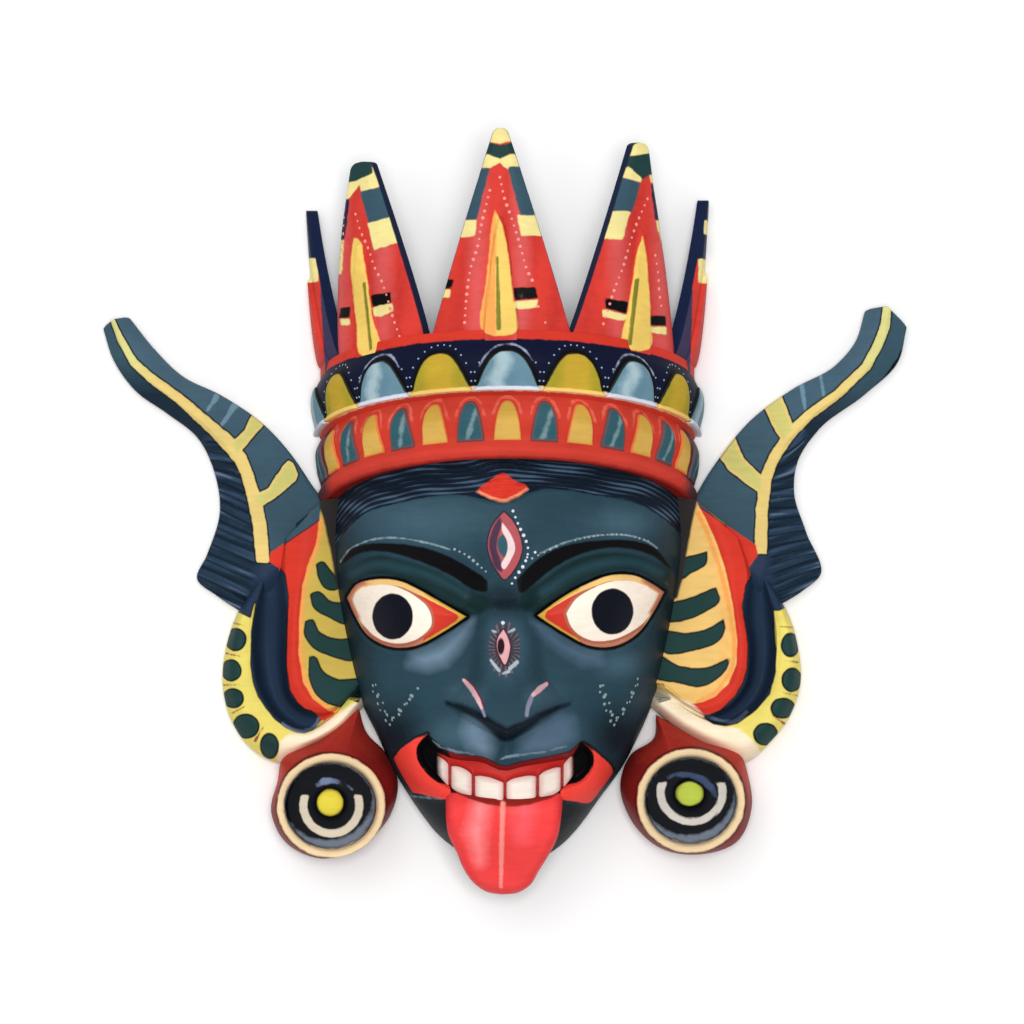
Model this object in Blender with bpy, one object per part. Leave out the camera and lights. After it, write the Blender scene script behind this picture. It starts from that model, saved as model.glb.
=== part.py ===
"""A painted wooden mask of Kali, carved from one block and lying on its back: a hollow face with a
hanging tongue, a five-pointed crown over two petalled bands, horn-like wings, ears and ear discs.

Frame: metres, +Z out of the face, +Y up the face, +X to the right of someone who looks at it. The flat
back rim lies on z = 0, and the origin is under the middle of the mask's box. Outlines are drawn on the
carver's grid: squares across (u, rightwards) and down (v), GRID_SPAN of them from wing tip to wing tip."""

import bmesh
import bpy
import numpy as np

# Driving dimensions
MASK_WIDTH = 0.485
WALL = 0.012
FACE_DEPTH = 0.097
NOSE_RISE = 0.028
BROW_RISE = 0.006
SOCKET_DEPTH = 0.007
EYE_RISE = 0.006
CHEEK_RISE = 0.004
MUZZLE_RISE = 0.007
LIP_RISE = 0.004
MOUTH_DEPTH = 0.011
TOOTH_RISE = 0.0035
HAIR_RISE = 0.003
TONGUE_THICKNESS = 0.013
CROWN_DEPTH = 0.104
PETAL_RISE = 0.0025
POINT_THICKNESS = 0.011
POINT_BEVEL = 0.003
LEAF_RISE = 0.0025
WING_THICKNESS = 0.018
EAR_THICKNESS = 0.030
EAR_GROOVE = 0.013
DISC_THICKNESS = 0.047
DISC_DISH = 0.009

# The carver's grid
GRID_SPAN = 808
GRID = MASK_WIDTH / GRID_SPAN
MIDDLE = 505.0
LEVEL = 512.5
SUNK = 0.004

# How finely the forms are cut
FACE_COLUMNS = 38
EYE_SIDES = 20
WING_STATIONS = 15
EAR_STATIONS = 14
DISC_SIDES = 20
FLAT_WITHIN = np.radians(1.5)
SMOOTH_WITHIN = np.radians(35)
SPECK = 0.001

# The head's sections down the grid: level, middle, half width, share of FACE_DEPTH, sag of the sides, and
# how full the section is, where 2 is an ellipse
HEAD = (
    (430, 508, 174, 0.94, 50, 2.0),
    (457, 508, 176, 0.95, 50, 2.0),
    (500, 508, 178, 0.98, 34, 2.1),
    (545, 508, 177, 1.00, 12, 2.2),
    (600, 507, 171, 1.00, 0, 2.3),
    (650, 507, 161, 0.97, 0, 2.3),
    (700, 507, 148, 0.95, 0, 2.3),
    (740, 508, 130, 0.93, 0, 2.3),
    (770, 507, 115, 0.88, 0, 2.3),
    (803, 505, 93, 0.80, 0, 2.3),
    (820, 505, 81, 0.73, 0, 2.3),
    (835, 505, 69, 0.62, 0, 2.3),
    (850, 506, 52, 0.46, 0, 2.3),
    (861, 507, 33, 0.31, 0, 2.3),
    (868, 507, 13, 0.17, 0, 2.3),
)
FACE_LEVELS = (
    (430, 457, 484, 499, 510, 526, 539, 549, 559, 570, 582, 594, 604, 614, 626)
    + (642, 660, 676, 690, 703, 716, 726, 735, 743, 752, 762, 773, 784)
    + (796, 810, 828, 843, 855, 863, 868)
)

# Lines of the face on the grid
HAIR_EDGE = ((322, 566), (345, 532), (365, 514), (400, 503), (460, 495), (505, 502))
HAIR_EDGE += ((534, 491), (600, 496), (640, 505), (670, 524), (695, 560))
BROWS = (
    ((338, 566), (350, 549), (372, 540), (405, 538), (440, 546), (466, 557), (486, 571)),
    ((520, 572), (535, 557), (560, 544), (600, 535), (640, 539), (662, 552), (676, 572)),
)
EYES = (
    {
        "upper": ((346, 598), (356, 584), (372, 579), (400, 580), (422, 590), (445, 603), (468, 616)),
        "lower": ((346, 598), (355, 617), (368, 636), (390, 647), (412, 647), (442, 633), (468, 616)),
    },
    {
        "upper": ((536, 615), (562, 596), (586, 583), (612, 574), (635, 575), (652, 583), (665, 592)),
        "lower": ((536, 615), (564, 633), (590, 646), (612, 647), (635, 636), (654, 612), (665, 592)),
    },
)
EYE_RINGS = (1, 0.8, 0.4)
EYE_SEAT = 0.4
SOCKET_REACH = (76, 42)
EYE_CORNER_REACH = (20, 16)
BROW_SLOPES = {"above": 30, "below": 13, "ends": 16}
NOSE_AXIS = 507
NOSE_HEIGHTS = (
    (578, 0), (600, 0.16), (611, 0.07), (620, 0.16), (650, 0.46), (680, 0.78), (704, 1), (720, 1),
    (740, 0.9),
)
NOSE_HALF_WIDTHS = ((578, 26), (600, 32), (620, 34), (650, 37), (678, 44), (698, 60), (720, 62), (740, 60))
NOSE_RIDGE = 0.42
NOSE_TIP = {"level": 735, "undercut": 0.52, "slope": 7}
CHEEKS = ((392, 690), (622, 688))
CHEEK_REACH = (40, 44)
MUZZLE_LOBES = ((468, 734), (547, 734))
MUZZLE_REACH = (36, 24)
PHILTRUM = {"centre": (507, 752), "reach": (9, 16), "share": 0.5}
LIPS = {"off": 9, "reach": 11, "from": 737, "slope": 14}
MOUTH_SLOPE = 4
HAIR_SLOPE = 4
# The relief fades out under the crown, and towards the head's sides where the section is this low
RELIEF_TOP = {"level": 452, "slope": 8}
RELIEF_SIDE = {"share": 0.35, "slope": 0.3}
UPPER_LIP = (
    (428, 736), (440, 747), (455, 751), (485, 756), (503, 765), (520, 759), (550, 753), (568, 747),
    (580, 740),
)
TEETH_LINE = ((447, 784), (470, 796), (500, 803), (535, 800), (565, 785))
MOUTH = ((428, 735), (418, 745), (418, 757), (426, 771), (447, 786), (470, 797), (500, 804), (535, 801))
MOUTH += ((565, 787), (582, 781), (592, 768), (593, 757), (588, 746), (580, 740), (550, 753), (503, 765))
MOUTH += ((470, 752), (445, 749))
TOOTH_EDGES = (436, 450, 473.5, 505, 537.5, 562, 573)
TOOTH_GAP = 2.5
TOOTH_ROUNDING = 0.0015
GUM_TUCK = 8
TEETH_LEVEL = 775
TEETH_ROOT = 0.02
TEETH_SET = 0.45
TOOTH_END = 3
TONGUE_LEFT = (
    (447, 782), (446, 805), (449, 835), (457, 852), (463, 867), (474, 883), (487, 892), (501, 894.5),
)
TONGUE_RIGHT = (
    (563, 782), (562, 805), (556, 840), (547, 857), (539, 870), (530, 885), (517, 893), (503, 894.5),
)
# How high the tongue's ridge runs, as shares of its length and of FACE_DEPTH, and its section's corners
TONGUE_RIDGE = ((0, 0.763), (0.15, 0.876), (0.35, 0.856), (0.6, 0.753), (0.85, 0.629), (1, 0.546))
TONGUE_ROWS = 13
TONGUE_ACROSS = (0, 0.06, 0.25, 0.5, 0.75, 0.94, 1, 0.75, 0.25)
# The dug-out back: its levels, columns and where it goes deeper behind the eyes and the mouth
HOLLOW_LEVELS = (440, 500, 545, 590, 640, 690, 730, 770, 800, 825, 840)
HOLLOW_COLUMNS = 16
HOLLOW_DEEPENS = {"level": 560, "slope": 40}

# The crown: half a leaning ring. Levels are those at its front.
CROWN_MIDDLE = 507.5
CROWN_HALF_WIDTH = 185
CROWN_TOP = 331
CROWN_SAG = ((331, 41), (395, 46), (459, 52))
CROWN_END = 92
CROWN_HOLLOW_LEVELS = (CROWN_TOP - 8, 395, 430, 470)
CROWN_HOLLOW_SIDES = 20
PETAL_SLOPE = 3
# Each band: its profile as level and grid squares outwards; its petals' count, spacing and half width in
# degrees, their top and foot, and the two powers of their arch; and how far their feet stand out as a lip
BANDS = {
    "upper": {
        "profile": ((331, 2), (341, 4), (351, 9), (358, 11), (369, 10.5), (389, 5), (391, 4.5), (397, -1)),
        "petals": {"count": 9, "spacing": 20.3, "half": 9.9, "top": 351, "foot": 390, "arch": (2.6, 1.2)},
        "columns": (-1.06, -0.92, -0.4, 0.4, 0.92, 1.06),
        "lip": 0.0025,
        "spare": 0.003,
        "end": CROWN_END,
    },
    "lower": {
        "profile": ((391, -3), (403, 4), (411, 7.5), (424, 7), (441, 3), (450, 7), (459, 1)),
        "petals": {"count": 15, "spacing": 11.2, "half": 4.2, "top": 401, "foot": 441, "arch": (2.6, 0.7)},
        "columns": (-1.06, -0.9, -0.4, 0.4, 0.9, 1.06),
        "lip": 0,
        "spare": 0.006,
        "end": CROWN_END + 1,
    },
}
# Each point: left and right foot, apex and half the tip in degrees from the front, level of the apex, flare
# outwards in squares, and how much the flare and the left and right edges bow
POINTS = (
    (-91, -68, -86.5, 2.0, 171, 18, 0.5, 1.0, 1.0),
    (-70, -27.5, -48.5, 4.3, 150, 14, 1.0, 1.6, 1.1),
    (-24.4, 20.4, -2.1, 1.9, 131, 6, 1.0, 1.0, 1.0),
    (21, 68.5, 44.3, 3.0, 133, 8, 1.0, 0.93, 0.97),
    (67, 91, 86, 2.0, 161, 18, 0.5, 1.0, 1.0),
)
POINT_ROWS = (-0.25, 0.0, 0.2, 0.4, 0.55, 0.8, 1.0)
POINT_ROOT = 60
POINT_TAPER = 0.4
POINT_SHOULDER = {"share": 0.4, "most": 7}
LEAF_TOP = 0.56
LEAF_HALF_ANGLE = 4.6
LEAF_EDGE = 1.25
LEAF_SHARE = {"most": 0.4, "least": 0.05, "fades": 0.3, "over": 0.2}

# Wings: outer edge, ridge and inner edge, each from the tip down
WINGS = {
    "left": (
        (
            (101, 329), (110, 357), (134, 391), (165, 413), (196, 438), (213, 474), (218, 510),
            (205, 555), (195, 579), (216, 597), (243, 615),
        ),
        (
            (113, 321), (131, 361), (165, 390), (210, 427), (237, 455), (252, 490), (262, 525),
            (264, 560), (272, 600),
        ),
        (
            (128, 318), (152, 348), (180, 375), (220, 395), (262, 424), (288, 452), (310, 484),
            (324, 505), (328, 550),
        ),
    ),
    "right": (
        (
            (909, 327), (901, 360), (868, 393), (820, 430), (799, 463), (796, 492), (808, 532),
            (822, 576), (805, 591), (770, 612),
        ),
        (
            (888, 308), (880, 343), (855, 380), (810, 415), (783, 443), (767, 480), (762, 520),
            (762, 555), (750, 600),
        ),
        (
            (867, 311), (858, 340), (838, 364), (795, 388), (750, 422), (725, 452), (703, 485),
            (692, 508), (688, 550),
        ),
    ),
}
WING_STRIPE = 5
WING_TIP = {"share": 0.55, "beyond": 3}
# Heights across a wing as shares of WING_THICKNESS, from its outer edge to its inner
WING_SECTION = (0.42, 0.74, 1, 1, 0.86, 0.62)
# Ears: rim, outer edge of the groove, its inner edge, edge of the inner panel, and a line inside the face
EARS = {
    "left": (
        (
            (264, 548), (250, 590), (235, 616), (224, 650), (221, 685), (230, 722), (250, 750),
            (278, 762), (310, 745), (340, 729), (362, 704),
        ),
        (
            (278, 545), (263, 580), (254, 615), (252, 660), (260, 695), (280, 722), (305, 733),
            (328, 721), (348, 700),
        ),
        (
            (286, 538), (284, 580), (287, 620), (286, 665), (291, 697), (305, 710), (325, 713),
            (340, 705), (354, 692),
        ),
        (
            (322, 500), (312, 555), (303, 582), (299, 620), (299, 660), (305, 688), (318, 702),
            (336, 704), (356, 686),
        ),
        ((350, 496), (352, 548), (354, 600), (360, 640), (364, 660), (368, 675), (371, 683)),
    ),
    "right": (
        (
            (760, 548), (776, 590), (790, 615), (800, 650), (802, 685), (792, 716), (772, 743),
            (745, 763), (712, 748), (680, 729), (654, 702),
        ),
        (
            (748, 545), (765, 580), (775, 615), (777, 655), (770, 690), (752, 714), (726, 726),
            (700, 718), (672, 700),
        ),
        (
            (738, 538), (748, 575), (745, 610), (750, 650), (745, 686), (729, 706), (707, 715),
            (690, 707), (668, 692),
        ),
        (
            (697, 500), (712, 532), (723, 560), (732, 605), (737, 650), (732, 682), (716, 698),
            (695, 704), (664, 684),
        ),
        ((664, 494), (662, 548), (660, 600), (654, 640), (650, 660), (646, 675), (643, 683)),
    ),
}
# Where an ear's section has its corners, from the rim (0) to the line inside the face (4), and their
# heights as shares of EAR_THICKNESS; the groove's floor is cut down by EAR_GROOVE
EAR_SECTION = (
    (0, 0.42), (0.3, 0.80), (0.75, 0.86), (1, 0.80), (1.5, 0.86), (2, 0.94), (2.5, 1.03), (3, 1.0),
    (4, 0.72),
)
EAR_FLOOR = 4
# Along an ear, by share of its length: how deep the groove is, and how high all outside it stands
EAR_GROOVE_ALONG = ((0, 0), (0.08, 0.2), (0.22, 1), (0.8, 1), (0.9, 0.5), (1, 0))
EAR_RIM_ALONG = ((0, 0.4), (0.08, 0.5), (0.22, 0.95), (0.3, 1), (1, 1))
EAR_RIM_END = 2
# Ear discs: centre, outline from the lobe round, and the ring's half width and height
DISCS = {
    "left": (
        (331, 806), (54, 52),
        (
            (361, 704), (362, 733), (385, 755), (397, 783), (390, 816), (368, 842), (320, 860),
            (284, 843), (270, 812), (277, 776), (281, 757), (318, 735),
        ),
    ),
    "right": (
        (691, 801), (54, 52),
        (
            (655, 704), (661, 736), (632, 756), (621, 785), (632, 822), (660, 849), (700, 856),
            (739, 842), (753, 806), (748, 772), (742, 754), (702, 736),
        ),
    ),
}
# A disc from its outline in: share of the way to the ring, then shares of the ring, with heights
DISC_SHOULDERS = ((0, 0.45), (0.35, 0.72), (0.8, 0.94))
DISC_RINGS = ((0.97, 1.0), (0.88, 0.97))
DISC_FLOOR = ((0.80, 0.0), (0.30, 0.0))
DISC_BOSS = ((0.24, 0.75), (0.10, 0.95))


def place(u, v, z):
    """Points on the carver's grid, at height z in metres, as an array of x, y, z."""
    u, v, z = np.broadcast_arrays(np.asarray(u, float), np.asarray(v, float), np.asarray(z, float))
    return np.stack(((u - MIDDLE) * GRID, (LEVEL - v) * GRID, z), axis=-1)


def eased(table, where, column=1):
    """A smooth curve through a column of the table, read at where along its first column."""
    table = np.asarray(table, float)
    xs, ys = table[:, 0], table[:, column]
    slopes = np.gradient(ys, xs)
    where = np.clip(where, xs[0], xs[-1])
    i = np.clip(np.searchsorted(xs, where) - 1, 0, len(xs) - 2)
    step = xs[i + 1] - xs[i]
    t = (where - xs[i]) / step
    rise = ys[i + 1] - ys[i]
    near, far = slopes[i] * step, slopes[i + 1] * step
    return ys[i] + t * (near + t * (3 * rise - 2 * near - far + t * (near + far - 2 * rise)))


def trace(points, count):
    """A smooth curve through the points, as count points equally far apart along it."""
    points = np.asarray(points, float)
    along = np.concatenate(([0], np.cumsum(np.linalg.norm(np.diff(points, axis=0), axis=1))))
    share = np.linspace(0, along[-1], count)
    both = (eased(np.column_stack((along, points[:, k])), share) for k in (0, 1))
    return np.column_stack(tuple(both))


def hill(u, v, centre, reach):
    """1 at the centre, falling off smoothly over the reach."""
    return np.exp(-(((u - centre[0]) / reach[0]) ** 2) - ((v - centre[1]) / reach[1]) ** 2)


def step_up(value, width):
    """0 below -width, 1 above width, eased between."""
    t = np.clip(value / width * 0.5 + 0.5, 0, 1)
    return t * t * (3 - 2 * t)


def distance(u, v, line, closed=False):
    """How far each point is from a line of points."""
    ends = np.asarray(line, float)
    starts, ends = (ends, np.roll(ends, -1, axis=0)) if closed else (ends[:-1], ends[1:])
    least = np.full(np.shape(u), np.inf)
    for (au, av), (bu, bv) in zip(starts, ends):
        du, dv = bu - au, bv - av
        t = np.clip(((u - au) * du + (v - av) * dv) / (du * du + dv * dv), 0, 1)
        least = np.minimum(least, np.hypot(u - au - t * du, v - av - t * dv))
    return least


def inside(u, v, ring):
    """Which points lie inside a closed ring of points."""
    ring = np.asarray(ring, float)
    found = np.zeros(np.shape(u), bool)
    for (au, av), (bu, bv) in zip(ring, np.roll(ring, -1, axis=0)):
        if av != bv:
            found ^= ((av > v) != (bv > v)) & (u < au + (v - av) * (bu - au) / (bv - av))
    return found


def head_height(u, v):
    """The plain head's height over the back where it has no sag."""
    middle, half, share, fullness = (eased(HEAD, v, k) for k in (1, 2, 3, 5))
    across = np.clip(np.abs(u - middle) / half, 0, 1)
    return FACE_DEPTH * share * (1 - across**fullness) ** (1 / fullness)


def eye_centre(eye):
    """The middle between the corners, at the lids' mean level."""
    lids = eye["upper"] + eye["lower"]
    return (eye["upper"][0][0] + eye["upper"][-1][0]) / 2, np.mean([point[1] for point in lids])


def brow_and_socket(u, v, brow, eye):
    """The brow's ridge and the socket under it."""
    crest = eased(trace(brow, 24), u)
    below = v - crest
    ends = BROW_SLOPES["ends"]
    within = step_up(u - brow[0][0], ends) * step_up(brow[-1][0] - u, ends)
    ridge = np.exp(-((below / np.where(below < 0, BROW_SLOPES["above"], BROW_SLOPES["below"])) ** 2))
    centre = eye_centre(eye)
    socket = hill(u, v, centre, SOCKET_REACH)
    inner = min((eye["upper"][0], eye["upper"][-1]), key=lambda corner: abs(corner[0] - NOSE_AXIS))
    corner = hill(u, v, inner, EYE_CORNER_REACH)
    return BROW_RISE * ridge * within - SOCKET_DEPTH * np.maximum(socket, corner)


def eyeball(number, eye):
    """The almond between the lids: a low dome with a crisp edge."""
    half = EYE_SIDES // 2 + 1
    upper, lower = trace(eye["upper"], half), trace(eye["lower"], half)
    outline = np.concatenate((upper, lower[-2:0:-1]))
    centre = np.array(eye_centre(eye))
    loops = []
    for share in EYE_RINGS:
        u, v = (centre + (outline - centre) * share).T
        loops.append(place(u, v, head_height(u, v) - SOCKET_DEPTH * EYE_SEAT + EYE_RISE * (1 - share**2)))
    foot = loops[0].copy()
    foot[:, 2] -= WALL
    return loft(f"eye {number}", [foot, *loops])


def nose(u, v):
    """The nose: a flat-topped ridge that widens into the nostrils, cut under at the tip."""
    across = np.abs(u - NOSE_AXIS)
    side = np.clip((across / eased(NOSE_HALF_WIDTHS, v) - NOSE_RIDGE) / (1 - NOSE_RIDGE), 0, 1)
    foot = NOSE_TIP["level"] - NOSE_TIP["undercut"] * across
    under = step_up(foot - v, NOSE_TIP["slope"])
    return NOSE_RISE * eased(NOSE_HEIGHTS, v) * np.cos(side * np.pi / 2) ** 2 * under


def mouth(u, v):
    """The muzzle's two lobes, the lips that turn out at the corners, and the mouth between them."""
    ring = trace(MOUTH + MOUTH[:1], 60)[:-1]
    away = distance(u, v, ring, closed=True)
    opened = inside(u, v, ring)
    lobes = sum(hill(u, v, lobe, MUZZLE_REACH) for lobe in MUZZLE_LOBES)
    groove = PHILTRUM["share"] * hill(u, v, PHILTRUM["centre"], PHILTRUM["reach"])
    lip = np.exp(-(((away - LIPS["off"]) / LIPS["reach"]) ** 2)) * step_up(v - LIPS["from"], LIPS["slope"])
    outside = MUZZLE_RISE * (lobes - groove) + LIP_RISE * lip
    return np.where(opened, -MOUTH_DEPTH * step_up(away - MOUTH_SLOPE, MOUTH_SLOPE), outside)


def relief(u, v):
    """How far the carved face stands out of the plain head, over the whole grid."""
    rise = sum(brow_and_socket(u, v, brow, eye) for brow, eye in zip(BROWS, EYES))
    rise = rise + nose(u, v) + mouth(u, v)
    rise = rise + CHEEK_RISE * sum(hill(u, v, cheek, CHEEK_REACH) for cheek in CHEEKS)
    hair = eased(trace(HAIR_EDGE, 40), u) - v
    rise = rise + HAIR_RISE * step_up(hair, HAIR_SLOPE)
    return rise * step_up(v - RELIEF_TOP["level"], RELIEF_TOP["slope"])


def head_section(level, columns, inset=0.0, cut=0.0):
    """A closed loop round the head at a level, carved or, with an inset in metres, plain and smaller."""
    middle, half, share, sag, fullness = (eased(HEAD, level, k) for k in range(1, 6))
    turn = np.linspace(-1, 1, columns)
    angle = np.pi / 2 * (1 - np.sign(turn) * np.abs(turn) ** 1.1)
    across = np.sign(np.cos(angle)) * np.abs(np.cos(angle)) ** (2 / fullness)
    u = middle + (half - inset / GRID) * across
    lift = np.clip(np.sin(angle), 0, 1) ** (2 / fullness)
    z = (FACE_DEPTH * share - inset - cut) * lift
    v = level + sag * (1 - lift)
    if not inset:
        z = z + relief(u, v) * step_up(lift - RELIEF_SIDE["share"], RELIEF_SIDE["slope"])
    u = np.concatenate((u[:1], u, u[-1:]))
    v = np.concatenate((v[:1], v, v[-1:]))
    z = np.concatenate(([-SUNK], np.maximum(z, 0), [-SUNK]))
    return place(u, v, z)


def crown_place(turn, level, out):
    """A point of the crown: degrees from its front, level at the front, and grid squares outwards."""
    angle = np.radians(turn)
    sag = eased(CROWN_SAG, level) * (1 - np.cos(angle))
    u = CROWN_MIDDLE + (CROWN_HALF_WIDTH + out) * np.sin(angle)
    z = (CROWN_DEPTH + out * GRID) * np.cos(angle)
    return place(u, level + sag, z)


def crown_band(name):
    """A bulging band of the crown with its raised, arch-topped petals, and the tube wall behind it."""
    levels, out = np.array(BANDS[name]["profile"], float).T
    petals, end = BANDS[name]["petals"], BANDS[name]["end"]
    (shoulder, bow), top, foot = petals["arch"], petals["top"], petals["foot"]
    stations = [(-end, 2), (end, 2)]
    for which in np.arange(petals["count"]) - (petals["count"] - 1) / 2:
        columns = BANDS[name]["columns"]
        stations += [(which * petals["spacing"] + across * petals["half"], abs(across)) for across in columns]
    loops = []
    for turn, across in sorted(stations):
        if abs(turn) > end:
            continue
        arch = foot - (foot - top) * max(1 - across**shoulder, 0) ** bow
        raised = (across < 1) * step_up(levels - arch, PETAL_SLOPE) * (levels <= foot)
        rise = PETAL_RISE * raised + BANDS[name]["lip"] * raised * (levels > foot - PETAL_SLOPE)
        outer = crown_place(turn, levels, out + rise / GRID)
        inner = crown_place(turn, levels[[-1, 0]], -(WALL + BANDS[name]["spare"]) / GRID)
        loops.append(np.concatenate((outer, inner)))
    return loft(f"{name} band", loops)


def crown_point(number, left, right, apex, tip, apex_level, flare, flare_bow, left_bow, right_bow):
    """One point of the crown: a plate with bevelled edges and a leaf raised on it."""
    loops = []
    for row in POINT_ROWS:
        up = max(row, 0)
        level = CROWN_TOP + (apex_level - CROWN_TOP) * up - POINT_ROOT * min(row, 0)
        low = left + (apex - tip - left) * up**left_bow
        high = right + (apex + tip - right) * up**right_bow
        middle = (low + high) / 2
        half = (high - low) / 2
        leaf = min(LEAF_HALF_ANGLE * max(1 - up / LEAF_TOP, 0) ** 0.6, half * LEAF_SHARE["most"])
        rise = LEAF_RISE * step_up(leaf - LEAF_SHARE["fades"], LEAF_SHARE["over"])
        leaf = max(leaf, half * LEAF_SHARE["least"])
        foot = leaf * LEAF_EDGE
        thick = POINT_THICKNESS * (1 - POINT_TAPER * up)
        shoulder = half - min(half * POINT_SHOULDER["share"], POINT_SHOULDER["most"])
        edge = POINT_BEVEL * min(1, half / POINT_SHOULDER["most"])
        spread = (-half, -half, -shoulder, -foot, -leaf, leaf, foot, shoulder, half, half)
        turns = middle + np.array(spread + (half / 3, -half / 3))
        outs = (-thick, -edge, 0, 0, rise, rise, 0, 0, -edge, -thick, -thick, -thick)
        out = np.array(outs) / GRID + flare * up**flare_bow
        loops.append(crown_place(turns, level, out))
    return loft(f"crown point {number}", loops)


def wing(side):
    """A wing: flat facets on both sides of the ridge that carries its stripe, its tip's corners cut off."""
    outer, ridge, inner = (trace(line, WING_STATIONS) for line in WINGS[side])
    beyond = ridge[0] + (ridge[0] - ridge[1]) / np.linalg.norm(ridge[0] - ridge[1]) * WING_TIP["beyond"]
    ends = (beyond + (line[0] - ridge[0]) * WING_TIP["share"] for line in (outer, inner))
    outer, inner = (np.vstack((end, line)) for end, line in zip(ends, (outer, inner)))
    ridge = np.vstack((beyond, ridge))
    loops = []
    for k in range(len(ridge)):
        across = (outer[k] - inner[k]) / np.linalg.norm(outer[k] - inner[k])
        stripe = WING_STRIPE * across
        corners = (outer[k], outer[k], (outer[k] + ridge[k]) / 2, ridge[k] + stripe, ridge[k] - stripe)
        corners += ((inner[k] + ridge[k]) / 2, inner[k], inner[k])
        heights = (-SUNK, *(share * WING_THICKNESS for share in WING_SECTION), -SUNK)
        u, v = np.array(corners).T
        loops.append(place(u, v, heights))
    return loft(f"{side} wing", loops)


def ear(side):
    """An ear: rounded rim, deep groove, raised band and inner panel, set against the face."""
    lines = [trace(line, EAR_STATIONS) for line in EARS[side]]
    along = np.linspace(0, 1, EAR_STATIONS)
    loops = []
    for k in range(EAR_STATIONS):
        groove = EAR_GROOVE * eased(EAR_GROOVE_ALONG, along[k])
        rim = eased(EAR_RIM_ALONG, along[k])
        corners, heights = [lines[0][k]], [-SUNK]
        for number, (where, share) in enumerate(EAR_SECTION):
            near = min(int(where), 3)
            corners.append(lines[near][k] + (lines[near + 1][k] - lines[near][k]) * (where - near))
            high = EAR_THICKNESS * share * (rim if where < EAR_RIM_END else 1)
            heights.append(high - (groove if number == EAR_FLOOR else 0))
        corners.append(lines[4][k])
        heights.append(-SUNK)
        u, v = np.array(corners).T
        loops.append(place(u, v, heights))
    return loft(f"{side} ear", loops)


def ear_disc(side):
    """An ear disc under its lobe: a bulging drum with a raised ring, a dish and a boss."""
    centre, ring, outline = DISCS[side]
    centre = np.array(centre, float)
    edge = trace(outline + outline[:1], DISC_SIDES + 1)[:-1] - centre
    bearing = edge / np.linalg.norm(edge, axis=1)[:, None]
    circle = bearing / np.linalg.norm(bearing / ring, axis=1)[:, None]
    loops = [place(*(centre + edge).T, -SUNK)]
    for share, height in DISC_SHOULDERS:
        loops.append(place(*(centre + edge + (circle - edge) * share).T, height * DISC_THICKNESS))
    floor = DISC_THICKNESS - DISC_DISH
    for share, height in DISC_RINGS:
        loops.append(place(*(centre + circle * share).T, height * DISC_THICKNESS))
    for share, height in DISC_FLOOR + DISC_BOSS:
        loops.append(place(*(centre + circle * share).T, floor + height * DISC_DISH))
    return loft(f"{side} ear disc", loops)


def teeth():
    """Gum and teeth: a curved bar across the mouth, with a groove between each tooth and the next."""
    loops = []
    edges = np.array(TOOTH_EDGES, float)
    gaps = edges[1:-1]
    middles = (edges[:-1] + edges[1:]) / 2
    for u in sorted({*edges, *middles, *(gaps - TOOTH_GAP), *(gaps + TOOTH_GAP)}):
        top, foot = eased(UPPER_LIP, u) - GUM_TUCK, eased(TEETH_LINE, u)
        off = np.abs(gaps - u).min()
        base = head_height(u, TEETH_LEVEL) - MOUTH_DEPTH * TEETH_SET
        rise = TOOTH_RISE * step_up(off - TOOTH_GAP / 2, TOOTH_GAP / 2)
        levels = np.array([top, top, (top + foot) / 2, foot - TOOTH_END, foot, foot])
        heights = base + np.array([-TEETH_ROOT, 0, rise, rise, rise - TOOTH_ROUNDING, -TEETH_ROOT])
        loops.append(place(np.full(6, u), levels, heights))
    return loft("teeth", loops)


def tongue():
    """The tongue, out of the mouth and down over the chin, crowned across and thin at its edges."""
    left, right = trace(TONGUE_LEFT, TONGUE_ROWS), trace(TONGUE_RIGHT, TONGUE_ROWS)
    across = np.array(TONGUE_ACROSS)
    loops = []
    for k in range(TONGUE_ROWS):
        ridge = FACE_DEPTH * eased(TONGUE_RIDGE, k / (TONGUE_ROWS - 1))
        points = left[k] + (right[k] - left[k]) * across[:, None]
        crown = 1 - (2 * across - 1) ** 2
        top = ridge - TONGUE_THICKNESS * (0.5 - 0.5 * crown)
        top[-2:] = ridge - TONGUE_THICKNESS
        loops.append(place(*points.T, top))
    return loft("tongue", loops)


def loft(name, loops):
    """A closed body through loops of the same length, capped at both ends."""
    loops = np.array(loops)
    rows, columns = loops.shape[:2]
    mesh = bmesh.new()
    verts = [[mesh.verts.new(point) for point in loop] for loop in loops]
    for row in range(rows - 1):
        for k in range(columns):
            after = (k + 1) % columns
            mesh.faces.new((verts[row][k], verts[row][after], verts[row + 1][after], verts[row + 1][k]))
    mesh.faces.new(verts[0][::-1])
    mesh.faces.new(verts[-1])
    bmesh.ops.recalc_face_normals(mesh, faces=mesh.faces)
    bmesh.ops.triangulate(mesh, faces=mesh.faces, quad_method="SHORT_EDGE")
    return as_helper(name, mesh)


def as_helper(name, mesh):
    """A hidden object that the mask is joined with or cut by."""
    data = bpy.data.meshes.new(name)
    mesh.to_mesh(data)
    mesh.free()
    helper = bpy.data.objects.new(name, data)
    helper.hide_render = True
    helper.display_type = "WIRE"
    bpy.context.scene.collection.objects.link(helper)
    return helper


def head():
    """The head with its carved face, as a solid."""
    return loft("head", [head_section(level, FACE_COLUMNS) for level in FACE_LEVELS])


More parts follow.
